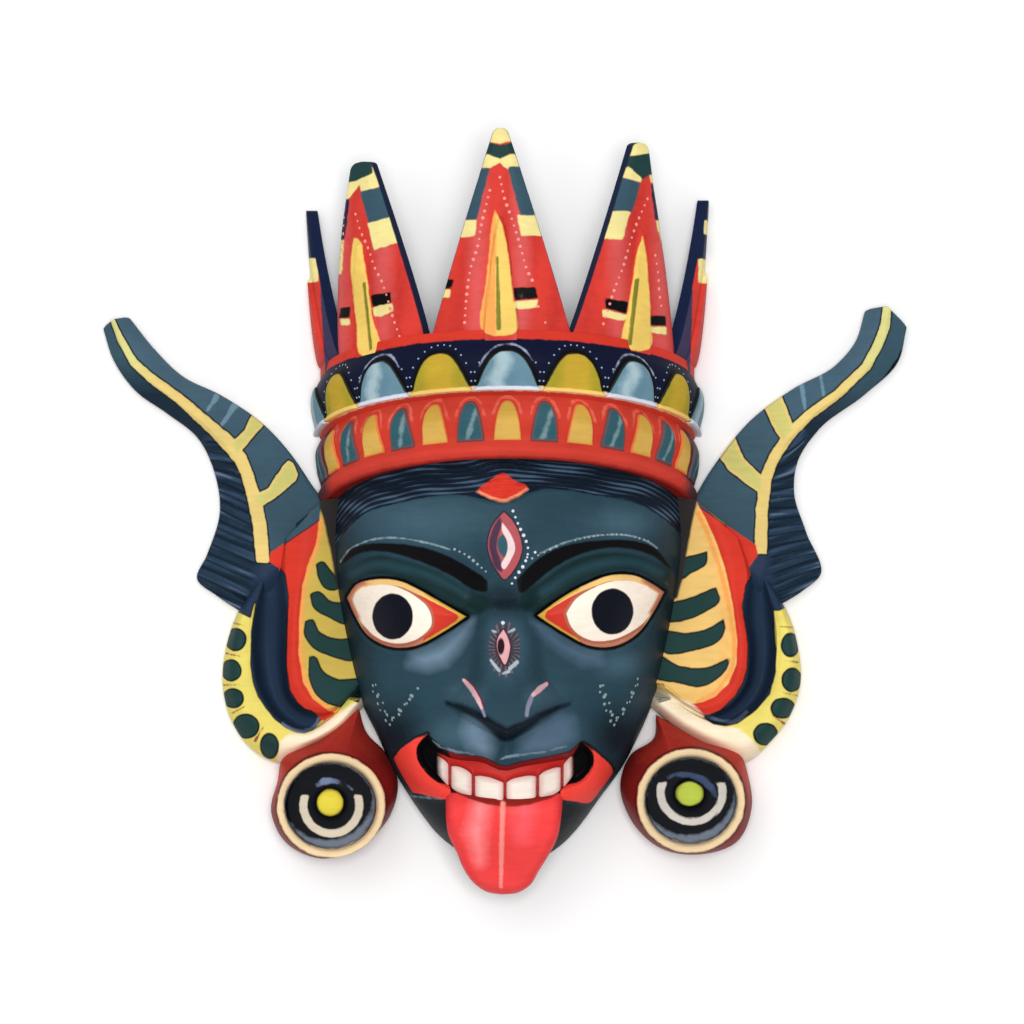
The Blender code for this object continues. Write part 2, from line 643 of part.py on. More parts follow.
def head_hollow():
    """What is dug out behind the face: the head's own sections, a wall and the deepest cut smaller."""
    deepest = max(MOUTH_DEPTH, SOCKET_DEPTH)
    loops = []
    for level in HOLLOW_LEVELS:
        cut = deepest * step_up(level - HOLLOW_DEEPENS["level"], HOLLOW_DEEPENS["slope"])
        loops.append(head_section(level, HOLLOW_COLUMNS, WALL, cut))
    return loft("head hollow", loops)


def crown_hollow():
    """The open inside of the crown, down into the head's hollow."""
    turns = np.linspace(-CROWN_END, CROWN_END, CROWN_HOLLOW_SIDES)
    loops = []
    for level in CROWN_HOLLOW_LEVELS:
        rim = crown_place(turns, np.full(len(turns), level), -WALL / GRID)
        ends = rim[[0, -1]].copy()
        ends[:, 2] = -2 * SUNK
        loops.append(np.concatenate((ends[:1], rim, ends[1:])))
    return loft("crown hollow", loops)


def ground():
    """Everything under the flat back."""
    mesh = bmesh.new()
    bmesh.ops.create_cube(mesh, size=1)
    bmesh.ops.scale(mesh, vec=(2 * MASK_WIDTH, 2 * MASK_WIDTH, 8 * SUNK), verts=mesh.verts)
    bmesh.ops.translate(mesh, vec=(0, 0, -4 * SUNK), verts=mesh.verts)
    return as_helper("ground", mesh)


def boolean(target, tool, operation):
    step = target.modifiers.new(f"{operation.lower()} {tool.name}", "BOOLEAN")
    step.operation = operation
    step.solver = "MANIFOLD"
    step.object = tool


def painted_wood():
    material = bpy.data.materials.new("painted wood")
    material.use_nodes = True
    shader = material.node_tree.nodes["Principled BSDF"]
    shader.inputs["Base Color"].default_value = (0.045, 0.075, 0.11, 1)
    shader.inputs["Roughness"].default_value = 0.38
    shader.inputs["Metallic"].default_value = 0
    return material


def settle(target):
    """Applies the cuts and joins, puts the origin under the middle of the box and clears needless edges."""
    graph = bpy.context.evaluated_depsgraph_get()
    mesh = bpy.data.meshes.new_from_object(target.evaluated_get(graph))
    target.modifiers.clear()
    target.data = mesh
    corners = np.empty(len(mesh.vertices) * 3)
    mesh.vertices.foreach_get("co", corners)
    corners = corners.reshape(-1, 3)
    low, high = corners.min(axis=0), corners.max(axis=0)
    shift = np.array([*(low + high)[:2] / 2, low[2]])
    mesh.vertices.foreach_set("co", (corners - shift).ravel())
    whole = bmesh.new()
    whole.from_mesh(mesh)
    bmesh.ops.dissolve_limit(whole, angle_limit=FLAT_WITHIN, verts=whole.verts, edges=whole.edges)
    bmesh.ops.triangulate(whole, faces=whole.faces)
    brush_off_specks(whole)
    whole.to_mesh(mesh)
    whole.free()


def brush_off_specks(whole):
    """Deletes the specks, each smaller than SPECK, that the joins leave where three forms meet in a point."""
    left = set(whole.verts)
    while left:
        shell = {left.pop()}
        rim = set(shell)
        while rim:
            rim = {edge.other_vert(vert) for vert in rim for edge in vert.link_edges} & left
            left -= rim
            shell |= rim
        size = [max(vert.co[k] for vert in shell) - min(vert.co[k] for vert in shell) for k in range(3)]
        if max(size) < SPECK:
            bmesh.ops.delete(whole, geom=list(shell), context="VERTS")


def build():
    for old in list(bpy.data.objects):
        bpy.data.objects.remove(old)
    mask = head()
    joined = [eyeball(number, eye) for number, eye in enumerate(EYES, 1)]
    joined += [crown_band(name) for name in BANDS]
    joined += [crown_point(number, *sizes) for number, sizes in enumerate(POINTS, 1)]
    joined += [make(side) for side in ("left", "right") for make in (wing, ear, ear_disc)]
    joined += [teeth(), tongue()]
    cutters = [head_hollow(), crown_hollow(), ground()]
    for tool in joined:
        boolean(mask, tool, "UNION")
    for tool in cutters:
        boolean(mask, tool, "DIFFERENCE")
    settle(mask)
    for tool in (*joined, *cutters):
        bpy.data.objects.remove(tool)
    mask.name = mask.data.name = "mask"
    mask.hide_render = False
    mask.display_type = "TEXTURED"
    mask.data.materials.clear()
    mask.data.materials.append(painted_wood())
    mask.data.shade_smooth()
    mask.data.set_sharp_from_angle(angle=SMOOTH_WITHIN)


build()
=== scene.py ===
"""The looks of a painted, carved mask of Kali that lies on its back: the carving at full fineness, brushed
enamel colours that follow the carving, raised dots of paint, and bare chiselled wood at the back.

Outlines are drawn on the carver's grid, as in the solid: squares across (u, rightwards) and down (v). What
is painted is kept on each point of a piece as the distance, in squares, to the edge of its patch, positive
inside, and the materials brush their colours in where that distance passes 0."""

import bmesh
import bpy
import numpy as np
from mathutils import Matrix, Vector
from mathutils.bvhtree import BVHTree


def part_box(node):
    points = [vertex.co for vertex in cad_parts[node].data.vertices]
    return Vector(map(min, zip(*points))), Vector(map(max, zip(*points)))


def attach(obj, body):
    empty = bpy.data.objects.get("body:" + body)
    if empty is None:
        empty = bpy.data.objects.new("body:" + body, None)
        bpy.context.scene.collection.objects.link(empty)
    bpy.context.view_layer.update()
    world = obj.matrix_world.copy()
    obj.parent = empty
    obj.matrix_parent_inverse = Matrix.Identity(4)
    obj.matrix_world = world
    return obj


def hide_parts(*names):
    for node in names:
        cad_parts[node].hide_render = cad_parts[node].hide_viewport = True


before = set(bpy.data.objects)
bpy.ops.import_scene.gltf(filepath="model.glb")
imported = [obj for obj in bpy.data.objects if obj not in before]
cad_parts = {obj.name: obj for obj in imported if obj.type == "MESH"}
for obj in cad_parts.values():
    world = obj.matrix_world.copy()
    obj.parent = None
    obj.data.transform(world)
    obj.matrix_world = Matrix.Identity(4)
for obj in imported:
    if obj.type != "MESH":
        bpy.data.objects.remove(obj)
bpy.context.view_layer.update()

# The carver's grid, from the solid's box: the wing tips are 808 squares apart
low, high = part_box("mask")
GRID = (high.x - low.x) / 808
MIDDLE = 101 - low.x / GRID
TONGUE_TIP = 894.5
LEVEL = TONGUE_TIP + low.y / GRID
SQUARES = 1024

# Sizes of the carving, in metres, as the solid has them
WALL = 0.012
FACE_DEPTH = 0.097
NOSE_RISE = 0.028
BROW_RISE = 0.006
SOCKET_DEPTH = 0.007
EYE_RISE = 0.006
CHEEK_RISE = 0.004
MUZZLE_RISE = 0.007
LIP_RISE = 0.004
MOUTH_DEPTH = 0.011
TOOTH_RISE = 0.0035
HAIR_RISE = 0.003
TONGUE_THICKNESS = 0.012
CROWN_DEPTH = 0.104
PETAL_RISE = 0.0025
PETAL_LIP = 0.0022
POINT_THICKNESS = 0.011
POINT_BEVEL = 0.003
LEAF_RISE = 0.0025
WING_THICKNESS = 0.018
EAR_THICKNESS = 0.030
EAR_GROOVE = 0.013
EAR_RIM_DROP = 0.003
DISC_THICKNESS = 0.047
# Below this a piece's outer wall keeps its ground colour
WALL_FOOT = 0.001
# Where pieces overlap on the floor, their undersides lie a hair apart
WING_UNDERSIDE = 0.0004
EAR_UNDERSIDE = 0.0002
DISC_UNDERSIDE = 0.0004
BAND_UNDERSIDE = {"lower": 0.0002, "upper": 0.0004}
POINT_UNDERSIDE = 0.0001
UNDERSIDES_END = 0.0005
DISC_DISH = 0.009
# How far loops and tools reach below the floor, and the thickness of the slab that trims them
BELOW_FLOOR = 0.004
SLAB = 0.04
# The finer carving that only the looks have
STRAND_DEPTH = 0.0009
STRANDS = 8
LID_ROLL = 0.0014
PATCH_RISE = 0.0007
CREASE_DEPTH = 0.0013
FEATHER_DEPTH = 0.0009
POINT_ROUND = 0.026
PAINT_DOT_HEIGHT = 0.45
SHINE = 0.03

# How finely each piece is cut
FACE_COLUMNS = 320
FACE_ROWS = 290
CHIN_ROWS = 6
EYE_SIDES = 72
BAND_COLUMNS = 361
BAND_ROWS = 44
POINT_LEVELS = 90
POINT_COLUMNS = 60
WING_STATIONS = 240
WING_COLUMNS = 62
EAR_STATIONS = 150
EAR_COLUMNS = 96
DISC_SIDES = 120
DISC_LOOPS = 84

# The head's sections: level, middle, half width, share of FACE_DEPTH, sag of the sides, fullness
HEAD = (
    (430, 508, 174, 0.94, 50, 2.0), (457, 508, 176, 0.95, 50, 2.0), (500, 508, 178, 0.98, 34, 2.1),
    (545, 508, 177, 1.00, 12, 2.2), (600, 507, 171, 1.00, 0, 2.3), (650, 507, 161, 0.97, 0, 2.3),
    (700, 507, 148, 0.95, 0, 2.3), (740, 508, 130, 0.93, 0, 2.3), (770, 507, 115, 0.88, 0, 2.3),
    (803, 505, 93, 0.80, 0, 2.3), (820, 505, 81, 0.73, 0, 2.3), (835, 505, 69, 0.62, 0, 2.3),
    (850, 506, 52, 0.46, 0, 2.3), (861, 507, 33, 0.31, 0, 2.3), (868, 507, 13, 0.17, 0, 2.3),
)

FACE_LEVELS = (436, 860)
CHIN_LEVELS = (861.5, 868)

# Carved lines of the face
HAIR_EDGE = (
    (322, 566), (345, 532), (365, 514), (400, 503), (460, 495), (505, 502), (534, 491), (600, 496),
    (640, 505), (670, 524), (695, 560),
)
CROWN_RIM = (
    (322, 520), (340, 488), (365, 471), (400, 461), (500, 457), (600, 460), (650, 470), (672, 482),
    (695, 512),
)
BROWS = (
    ((338, 566), (350, 549), (372, 540), (405, 538), (440, 546), (466, 557), (486, 571)),
    ((520, 572), (535, 557), (560, 544), (600, 535), (640, 539), (662, 552), (676, 572)),
)
EYES = (
    {
        "upper": ((346, 598), (356, 584), (372, 579), (400, 580), (422, 590), (445, 603), (468, 616)),
        "lower": ((346, 598), (355, 617), (368, 636), (390, 647), (412, 647), (442, 633), (468, 616)),
        "pupil": ((393, 616), (20.5, 23)),
        "white": ((352, 600), (358, 588), (374, 584), (396, 586), (416, 596), (430, 610), (432, 624)),
        "white under": ((420, 637), (400, 643), (380, 639), (366, 628), (356, 614)),
        "tip": 459,
        "red from": 424,
    },
    {
        "upper": ((536, 615), (562, 596), (586, 583), (612, 574), (635, 575), (652, 583), (665, 592)),
        "lower": ((536, 615), (564, 633), (590, 646), (612, 647), (635, 636), (654, 612), (665, 592)),
        "pupil": ((612, 611), (21, 23)),
        "white": ((566, 613), (574, 600), (590, 589), (612, 581), (634, 581), (650, 587), (661, 594)),
        "white under": ((654, 607), (646, 620), (630, 632), (608, 640), (588, 639), (572, 628)),
        "tip": 545,
        "red from": 580,
    },
)
EYE_SEAT = 0.4
EYE_DOME = (1, 0.985, 0.96, 0.92, 0.86, 0.78, 0.68, 0.56, 0.42, 0.28, 0.14, 0.04)
SOCKET_REACH = (76, 42)
EYE_CORNER_REACH = (20, 16)
BROW_SLOPES = {"above": 30, "below": 13, "ends": 16}
NOSE_AXIS = 507
NOSE_HEIGHTS = (
    (578, 0), (600, 0.16), (611, 0.07), (620, 0.16), (650, 0.46), (680, 0.78), (704, 1), (720, 1),
    (740, 0.9),
)
NOSE_HALF_WIDTHS = ((578, 26), (600, 32), (620, 34), (650, 37), (678, 44), (698, 60), (720, 62), (740, 60))
NOSE_RIDGE = 0.42
NOSE_TIP = {"level": 735, "undercut": 0.52, "slope": 7}
CHEEKS = ((392, 690), (622, 688))
CHEEK_REACH = (40, 44)
MUZZLE_LOBES = ((468, 734), (547, 734))
MUZZLE_REACH = (36, 24)
PHILTRUM = {"centre": (507, 752), "reach": (9, 16), "share": 0.5}
LIPS = {"off": 9, "reach": 11, "from": 737, "slope": 14}
MOUTH_SLOPE = 4
HAIR_SLOPE = 4
RELIEF_TOP = {"level": 452, "slope": 8}
RELIEF_SIDE = {"share": 0.35, "slope": 0.3}
UPPER_LIP = (
    (428, 736), (440, 745), (452, 752), (485, 757.5), (504, 766), (520, 762), (535, 759), (555, 755),
    (574, 749), (580, 742),
)
TEETH_LINE = ((436, 772), (447, 784), (470, 796), (500, 803), (535, 800), (565, 785), (573, 775))
MOUTH = (
    (428, 735), (418, 745), (418, 757), (426, 771), (447, 786), (470, 797), (500, 804), (535, 801),
    (565, 787), (582, 781), (592, 768), (593, 757), (588, 745), (580, 742), (574, 749), (555, 755),
    (535, 759), (520, 762), (504, 766), (485, 757.5), (452, 752), (440, 745),
)
TOOTH_EDGES = (434, 450, 473.5, 505, 537.5, 562, 574)
GUM_LINE = (
    (434, 751), (443, 757), (452, 762), (462, 765.5), (475, 771), (489, 775), (503, 777.5), (512, 776),
    (523, 774), (537, 771), (551, 766.5), (562, 762), (574, 751),
)
GUM_WALL = {"left": 447, "right": 576, "level": 748, "slant": 0.5, "down": 14}
CHIN_DARKENS = 799
TEETH_LEVEL = 775
TEETH_SEAT = 0.45
# Past these places across, the teeth are painted black: painted shade in the mouth's corners
TEETH_CORNER_SHADE = (440, 572)
TEETH_COLUMNS = 190
GUM_SWELL = 0.0012
TEETH_ROOT = 0.014
TONGUE_LEFT = (
    (447, 782), (446, 805), (449, 835), (457, 852), (463, 867), (474, 883), (487, 892), (501, 894.5),
)
TONGUE_RIGHT = (
    (563, 782), (562, 805), (556, 840), (547, 857), (539, 870), (530, 885), (517, 893), (503, 894.5),
)
TONGUE_RIDGE = ((0, 0.763), (0.15, 0.876), (0.35, 0.856), (0.6, 0.753), (0.85, 0.629), (1, 0.546))
TONGUE_ROWS = 110
TONGUE_GROOVE = {"axis": 501, "reach": 3.5, "depth": 0.0012}
TONGUE_STRIPE = ((503, 802, 5), (501.5, 850, 4.5), (501, 886, 3.5))
# Painted highlight: a broad pale stroke down the tongue's left lobe
TONGUE_HIGHLIGHT = ((482, 800, 12), (476, 830, 15), (480, 860, 5))
TONGUE_FLUSH = ((525, 806, 14), (522, 835, 10))
HOLLOW_LEVELS = (440, 500, 545, 590, 640, 690, 730, 770, 800, 825, 840)
HOLLOW_COLUMNS = 48
HOLLOW_DEEPENS = {"level": 560, "slope": 40}

# Painted patches of the face
BROW_PAINT = (
    (
        (339, 566), (346, 553), (358, 546), (380, 543), (405, 544), (430, 549), (455, 559), (475, 571),
        (487, 580), (487, 591), (476, 590), (455, 577), (430, 565), (405, 556), (380, 551), (360, 553),
    ),
    (
        (517, 579), (530, 565), (548, 552), (575, 543), (605, 540), (635, 541), (655, 548), (672, 571),
        (655, 557), (635, 550), (605, 548), (575, 556), (550, 570), (532, 585), (520, 593),
    ),
)
LID_PAINT = (
    (
        (345, 590), (350, 570), (372, 556), (405, 560), (440, 572), (470, 590), (492, 600), (486, 610),
        (470, 615), (445, 600), (415, 585), (385, 575), (360, 578),
    ),
    (
        (664, 588), (672, 575), (650, 560), (605, 552), (570, 561), (540, 581), (518, 598), (524, 610),
        (536, 612), (560, 594), (590, 578), (620, 570), (650, 578),
    ),
)
LID_GLOW = (
    ((352, 574), (372, 565), (405, 568), (440, 580), (466, 594)),
    ((543, 592), (575, 572), (610, 562), (640, 564), (660, 573)),
)
BROW_LINES = (
    ((340, 562), (350, 549), (362, 543), (375, 539), (400, 538), (420, 541), (437, 545), (450, 549)),
    ((540, 553), (560, 544), (580, 538), (600, 535), (625, 535), (645, 540), (657, 548)),
)
THIRD_EYE = (
    (504, 512), (512, 520), (519, 533), (522, 547), (519, 560), (512, 572), (505, 579), (497, 570),
    (490, 556), (488, 543), (492, 527), (498, 518),
)
THIRD_EYE_DARK = (
    (500, 516), (502, 524), (498, 536), (497, 548), (501, 561), (502, 572), (497, 569), (491, 555),
    (489, 543), (493, 528),
)
THIRD_EYE_WHITE = (
    (502, 522), (508, 530), (513, 539), (515, 549), (511, 559), (503, 569), (501, 565), (505, 557),
    (507.5, 548), (506, 538), (502, 531),
)
THIRD_EYE_BLUE = ((503, 534), (507, 541), (507.5, 549), (504, 557), (500, 553), (497.5, 546), (499, 538))
DIAMOND = (
    (476.5, 492), (489, 483), (503, 475), (516, 483), (528, 489), (519, 496), (505, 502), (489, 498.5),
)
NOSE_EYE = (
    (503.5, 628.5), (508, 637), (510, 646), (508.5, 655), (505, 663.5), (500, 655), (497, 646), (498, 637),
)
NOSE_HALO = ((504.5, 648), (15, 26))
NOSE_RAYS = 24
NOSE_PUPIL = ((501, 645), (3.6, 8.5))
NOSE_MARKS = (
    ((491, 659, 2.5), (495, 664, 3), (499, 669, 3)), ((503, 672, 2), (509, 670, 3)),
    ((510, 667, 4), (517, 661, 3.5)), ((509, 631, 2), (514, 628.5, 3)), ((492.5, 630, 2), (496, 631, 2)),
)
NOSTRIL_STROKES = (
    ((464, 679, 3), (471, 686, 5), (478, 697, 4.5), (482, 706, 3)),
    ((546, 683, 4), (540, 687, 6), (533, 693, 4)),
)
NOSTRIL_SHADES = (((482, 706, 3), (485, 714, 2)), ((532, 694, 4), (528, 704, 4.5), (526.5, 713, 4)))
CREASES = (
    ((447, 702), (461, 706), (478, 713), (491, 722), (504, 733)),
    ((571, 702), (556, 707), (540, 714), (525, 724), (509, 734)),
)
# Painted shade: soft dark strokes in the creases from the nostril wings down to the nose's foot, widening as they go
CREASE_SHADES = (
    ((447, 702, 4), (461, 706, 7), (478, 713, 9), (491, 722, 11), (504, 732, 15)),
    ((569, 703, 2), (556, 707, 5), (540, 714, 8), (525, 724, 11), (509, 732, 15)),
)
# Painted highlights: lighter patches under the eyes beside the nose and on the muzzle's lobes, the right ones dimmer
FACE_LIGHTS = {
    "lights": (
        (
            (471, 621), (467, 633), (458, 649), (445, 663), (428, 668), (410, 664), (414, 654), (440, 645),
            (457, 632),
        ),
        ((468, 715), (481, 718), (489, 731), (493, 746), (488, 757), (478, 753), (469, 745), (464, 730)),
    ),
    "low lights": (
        (
            (534, 622), (545, 634), (560, 649), (582, 662), (600, 662), (598, 652), (580, 648), (562, 640),
            (546, 627),
        ),
        ((521, 740), (535, 724), (556, 714), (572, 718), (574, 736), (560, 748), (530, 753), (519, 750)),
    ),
}
# Painted highlights: pale grey strokes along the upper lip's edge, and one under the left lower lip
LIP_HIGHLIGHTS = (
    ((433, 740, 1), (441, 746, 2.5), (456, 750, 2.5), (474, 753, 1.2)),
    ((500, 758, 1), (508, 755, 3), (518, 753.5, 2), (545, 750, 1.2), (566, 745, 1)),
    ((400, 798, 1), (416, 797, 1.5), (443, 798, 1)),
)
LIP_PAINT = (
    (
        (428, 733), (411, 741), (396, 755), (390, 770), (394, 783), (403, 790), (422, 794), (450, 796),
        (450, 786), (437, 781), (425, 770), (417, 757), (418, 745),
    ),
    (
        (583, 742), (600, 755), (613, 771), (611, 783), (601, 796), (590, 803), (575, 801), (560, 796),
        (562, 787), (579, 781), (590, 770), (594, 760), (590, 748),
    ),
)
# Painted highlights: soft lighter zones on the forehead, the nose, beside the nostrils, on the muzzle and on the
# right cheek
FACE_GLOWS = (
    ((420, 518), (74, 26)), ((624, 522), (42, 16)), ((506, 645), (20, 34)), ((466, 693), (18, 12)),
    ((543, 694), (18, 12)), ((455, 733), (30, 18)), ((557, 733), (26, 18)), ((622, 664), (26, 14)),
)
# Painted shade: soft darker zones at the face's sides, at the top of the nose and beside the mouth's corners
FACE_SHADES = (
    ((338, 640), (30, 110)), ((678, 640), (30, 110)), ((505, 600), (28, 16)), ((398, 735), (26, 30)),
    ((616, 735), (26, 30)),
)
SIDE_PAINT_ENDS = 0.036

# The crown: half a leaning ring, its levels those at its front
CROWN_MIDDLE = 507.5
CROWN_HALF_WIDTH = 185
CROWN_TOP = 331
CROWN_SAG = ((331, 41), (395, 46), (459, 52))
CROWN_END = 90
CROWN_HOLLOW_END = 92
CROWN_HOLLOW_COLUMNS = 60
CROWN_HOLLOW_LEVELS = (400, 430, 470)
BANDS = {
    "upper": {
        "profile": ((331, 2), (341, 4), (351, 9), (358, 11), (369, 10.5), (389, 5), (391, 4.5), (397, -1)),
        "petals": {"count": 9, "spacing": 20.3, "half": 9.9, "top": 351, "foot": 391, "arch": (2.6, 1.2)},
        "lip": PETAL_LIP,
    },
    "lower": {
        "profile": ((391, -3), (403, 4), (411, 7.5), (424, 7), (441, 3), (450, 7), (459, 1)),
        "petals": {"count": 15, "spacing": 11.2, "half": 4.2, "top": 401, "foot": 441, "arch": (2.6, 0.7)},
        "lip": 0,
    },
}
# Each point: left and right foot, apex and half the tip in degrees from the front, level of the apex, flare
# outwards in squares, and how much the flare and the left and right edges bow
POINTS = (
    (-91, -68, -86.5, 2.0, 171, 18, 0.5, 1.0, 1.0), (-70, -27.5, -48.5, 4.3, 150, 14, 1.0, 1.6, 1.1),
    (-24.4, 20.4, -2.1, 1.9, 131, 6, 1.0, 1.0, 1.0), (21, 68.5, 44.3, 3.0, 133, 8, 1.0, 0.93, 0.97),
    (67, 91, 86, 2.0, 161, 18, 0.5, 1.0, 1.0),
)
PETALS_FROM = 40
# A petal's dome: share of its outline, and share of its rise
PETAL_DOME = (
    (1, -1.2), (1, 0.45), (0.97, 0.8), (0.92, 1), (0.8, 1.05),
    (0.6, 1.1), (0.4, 1.1), (0.2, 1.1), (0.05, 1.1),
)
POINT_ROOT = 60
POINT_TAPER = 0.4
POINT_SHOULDER = {"share": 0.4, "most": 7}
LEAF_TOP = 0.56
LEAF_HALF_ANGLE = 4.6

# Paint on the points, by point: patches, each a ring of corners
POINT_PAINT = {
    1: {
        "cream": (((300, 257), (318, 257), (318, 281), (300, 281)),),
        "navy": (((290, 190), (345, 190), (345, 258), (290, 258)),),
        # Painted shade low on the point, where the crown turns away
        "painted shade": (((318, 258), (350, 258), (350, 400), (326, 400)),),
    },
    2: {
        "green": (((343, 155), (373, 155), (373, 174), (357, 182), (343, 184)),),
        "cream": (
            (
                (347, 179), (353, 173), (375, 168), (380, 189), (362, 194), (360, 186), (355, 192),
                (346, 202),
            ),
            ((368, 224), (392, 216), (402, 243), (375, 251)),
            ((326, 241), (344, 239), (342, 274), (322, 276)),
        ),
        "blue": (((360, 193), (386, 187), (398, 217), (369, 224)),),
        "dark": (((330, 200), (350, 200), (345, 240), (330, 241)),),
        "leaf": (
            (354, 238), (351, 262), (353, 290), (357, 325), (362, 356), (379, 353), (373, 318), (369, 290),
            (364, 258), (359, 240),
        ),
        "slit": ((363, 283), (366, 283), (373, 350), (370, 351)),
        "bars": (
            ((371, 296), (391, 293), (392, 305), (373, 308)),
            ((340, 308), (351, 307), (350, 318), (339, 318)),
        ),
        "pale bars": (
            ((373, 308), (393, 304), (394, 312), (382, 317), (374, 317)),
            ((340, 319), (350, 319), (350, 325), (341, 325)),
        ),
    },
    3: {
        "cream": (
            ((485, 120), (520, 120), (519, 143), (500, 147), (484, 143)),
            (
                (472, 157), (488, 157), (500, 160), (510, 157), (520, 155), (534, 168), (508, 172),
                (500, 166), (490, 171), (462, 170),
            ),
            ((450, 222), (477, 222), (475, 239), (440, 239)),
            ((517, 217), (548, 216), (556, 238), (521, 238)),
        ),
        "green": (
            (
                (478, 144), (500, 148), (522, 143), (528, 157), (510, 157), (500, 162), (488, 157),
                (472, 158),
            ),
        ),
        "blue": (
            ((460, 171), (490, 171), (477, 222), (445, 222)),
            ((508, 170), (535, 167), (552, 217), (520, 218)),
        ),
        "leaf": (
            (495, 213), (492, 228), (490, 252), (487, 282), (485, 334), (516, 334), (513, 298), (509, 262),
            (505, 238), (500, 222),
        ),
        "slit": ((496, 258), (498.5, 258), (501.5, 332), (496.5, 332)),
        "bars": (
            ((513, 289), (535, 289), (538, 300), (515, 302)),
            ((443, 281), (454, 281), (452, 290), (441, 290)),
        ),
        "pale bars": (
            ((514, 303), (538, 301), (536, 309), (520, 311), (514, 309)),
            ((441, 291), (451, 291), (450, 299), (440, 299)),
        ),
    },
    4: {
        "green": (
            (
                (618, 160), (634, 157), (652, 154), (662, 176), (650, 176), (642, 181), (628, 168),
                (614, 172),
            ),
        ),
        "cream": (
            ((629, 140), (655, 140), (656, 155), (640, 160), (628, 157)),
            ((618, 166), (630, 165), (643, 177), (640, 184), (610, 176)),
            ((648, 174), (662, 174), (664, 184), (651, 184)),
            ((604, 210), (630, 212), (622, 241), (596, 240)),
            ((655, 221), (672, 219), (680, 254), (664, 254)),
        ),
        "blue": (((606, 175), (640, 184), (632, 213), (600, 212)),),
        "dark": (((650, 185), (668, 183), (673, 220), (655, 221)),),
        "leaf": (
            (642, 237), (637, 252), (632, 282), (627, 312), (623, 348), (648, 350), (650, 312), (648, 282),
            (645, 250),
        ),
        "slit": ((634.5, 279), (639, 279), (631, 346), (626.5, 346)),
        "bars": (
            ((604, 299), (628, 303), (626, 315), (605, 309)),
            ((650, 316), (666, 316), (666, 326), (650, 326)),
        ),
        "pale bars": (
            ((602, 310), (626, 316), (624, 322), (602, 318)),
            ((650, 327), (666, 327), (666, 335), (650, 333)),
        ),
    },
    5: {
        "cream": (
            ((699, 258), (716, 258), (716, 282), (699, 282)),
            ((705, 219), (716, 219), (716, 233), (705, 233)),
        ),
        "navy": (((690, 180), (730, 180), (730, 258), (690, 258)),),
        # Painted shade low on the point, where the crown turns away
        "painted shade": (((660, 258), (694, 258), (690, 400), (660, 400)),),
    },
}
POINT_DOTS = (
    ((356, 215), (361, 232), (369, 250), (375, 268), (382, 282), (386, 293), (394, 320), (400, 337)),
    ((345, 210), (344, 225), (343, 241), (341, 258)),
    ((490, 193), (486, 209), (482, 225), (478, 248), (471, 270), (467, 297), (465, 324)),
    ((500, 180), (504, 199), (511, 219), (517, 237), (522, 255), (527, 272), (532, 282)),
    ((538, 308), (545, 324)), ((647, 200), (635, 228), (627, 253), (622, 270), (616, 285), (603, 325)),
    ((655, 256), (658, 276), (659, 292), (661, 306)),
)
CHEEK_DOTS = (
    ((373, 683), (380, 703), (390, 722)), ((390, 722), (404, 706), (416, 690)),
    ((600, 683), (606, 703), (614, 722)), ((614, 722), (626, 706), (638, 680)),
)

# Wings: outer edge, ridge and inner edge, each from the tip down
WINGS = {
    "left": (
        (
            (101, 329), (110, 357), (134, 391), (165, 413), (196, 438), (213, 474), (218, 510), (205, 555),
            (195, 579), (216, 597), (243, 615),
        ),
        (
            (113, 321), (131, 361), (165, 390), (210, 427), (237, 455), (252, 490), (262, 525), (264, 560),
            (272, 600),
        ),
        (
            (128, 318), (152, 348), (180, 375), (220, 395), (262, 424), (288, 452), (310, 484), (324, 505),
            (328, 550),
        ),
    ),
    "right": (
        (
            (909, 327), (901, 360), (868, 393), (820, 430), (799, 463), (796, 492), (808, 532), (822, 576),
            (805, 591), (770, 612),
        ),
        (
            (888, 308), (880, 343), (855, 380), (810, 415), (783, 443), (767, 480), (762, 520), (762, 555),
            (750, 600),
        ),
        (
            (867, 311), (858, 340), (838, 364), (795, 388), (750, 422), (725, 452), (703, 485), (692, 508),
            (688, 550),
        ),
    ),
}
WING_ROOT_SINKS = 0.5
WING_TIP = {"share": 0.55, "beyond": 3}
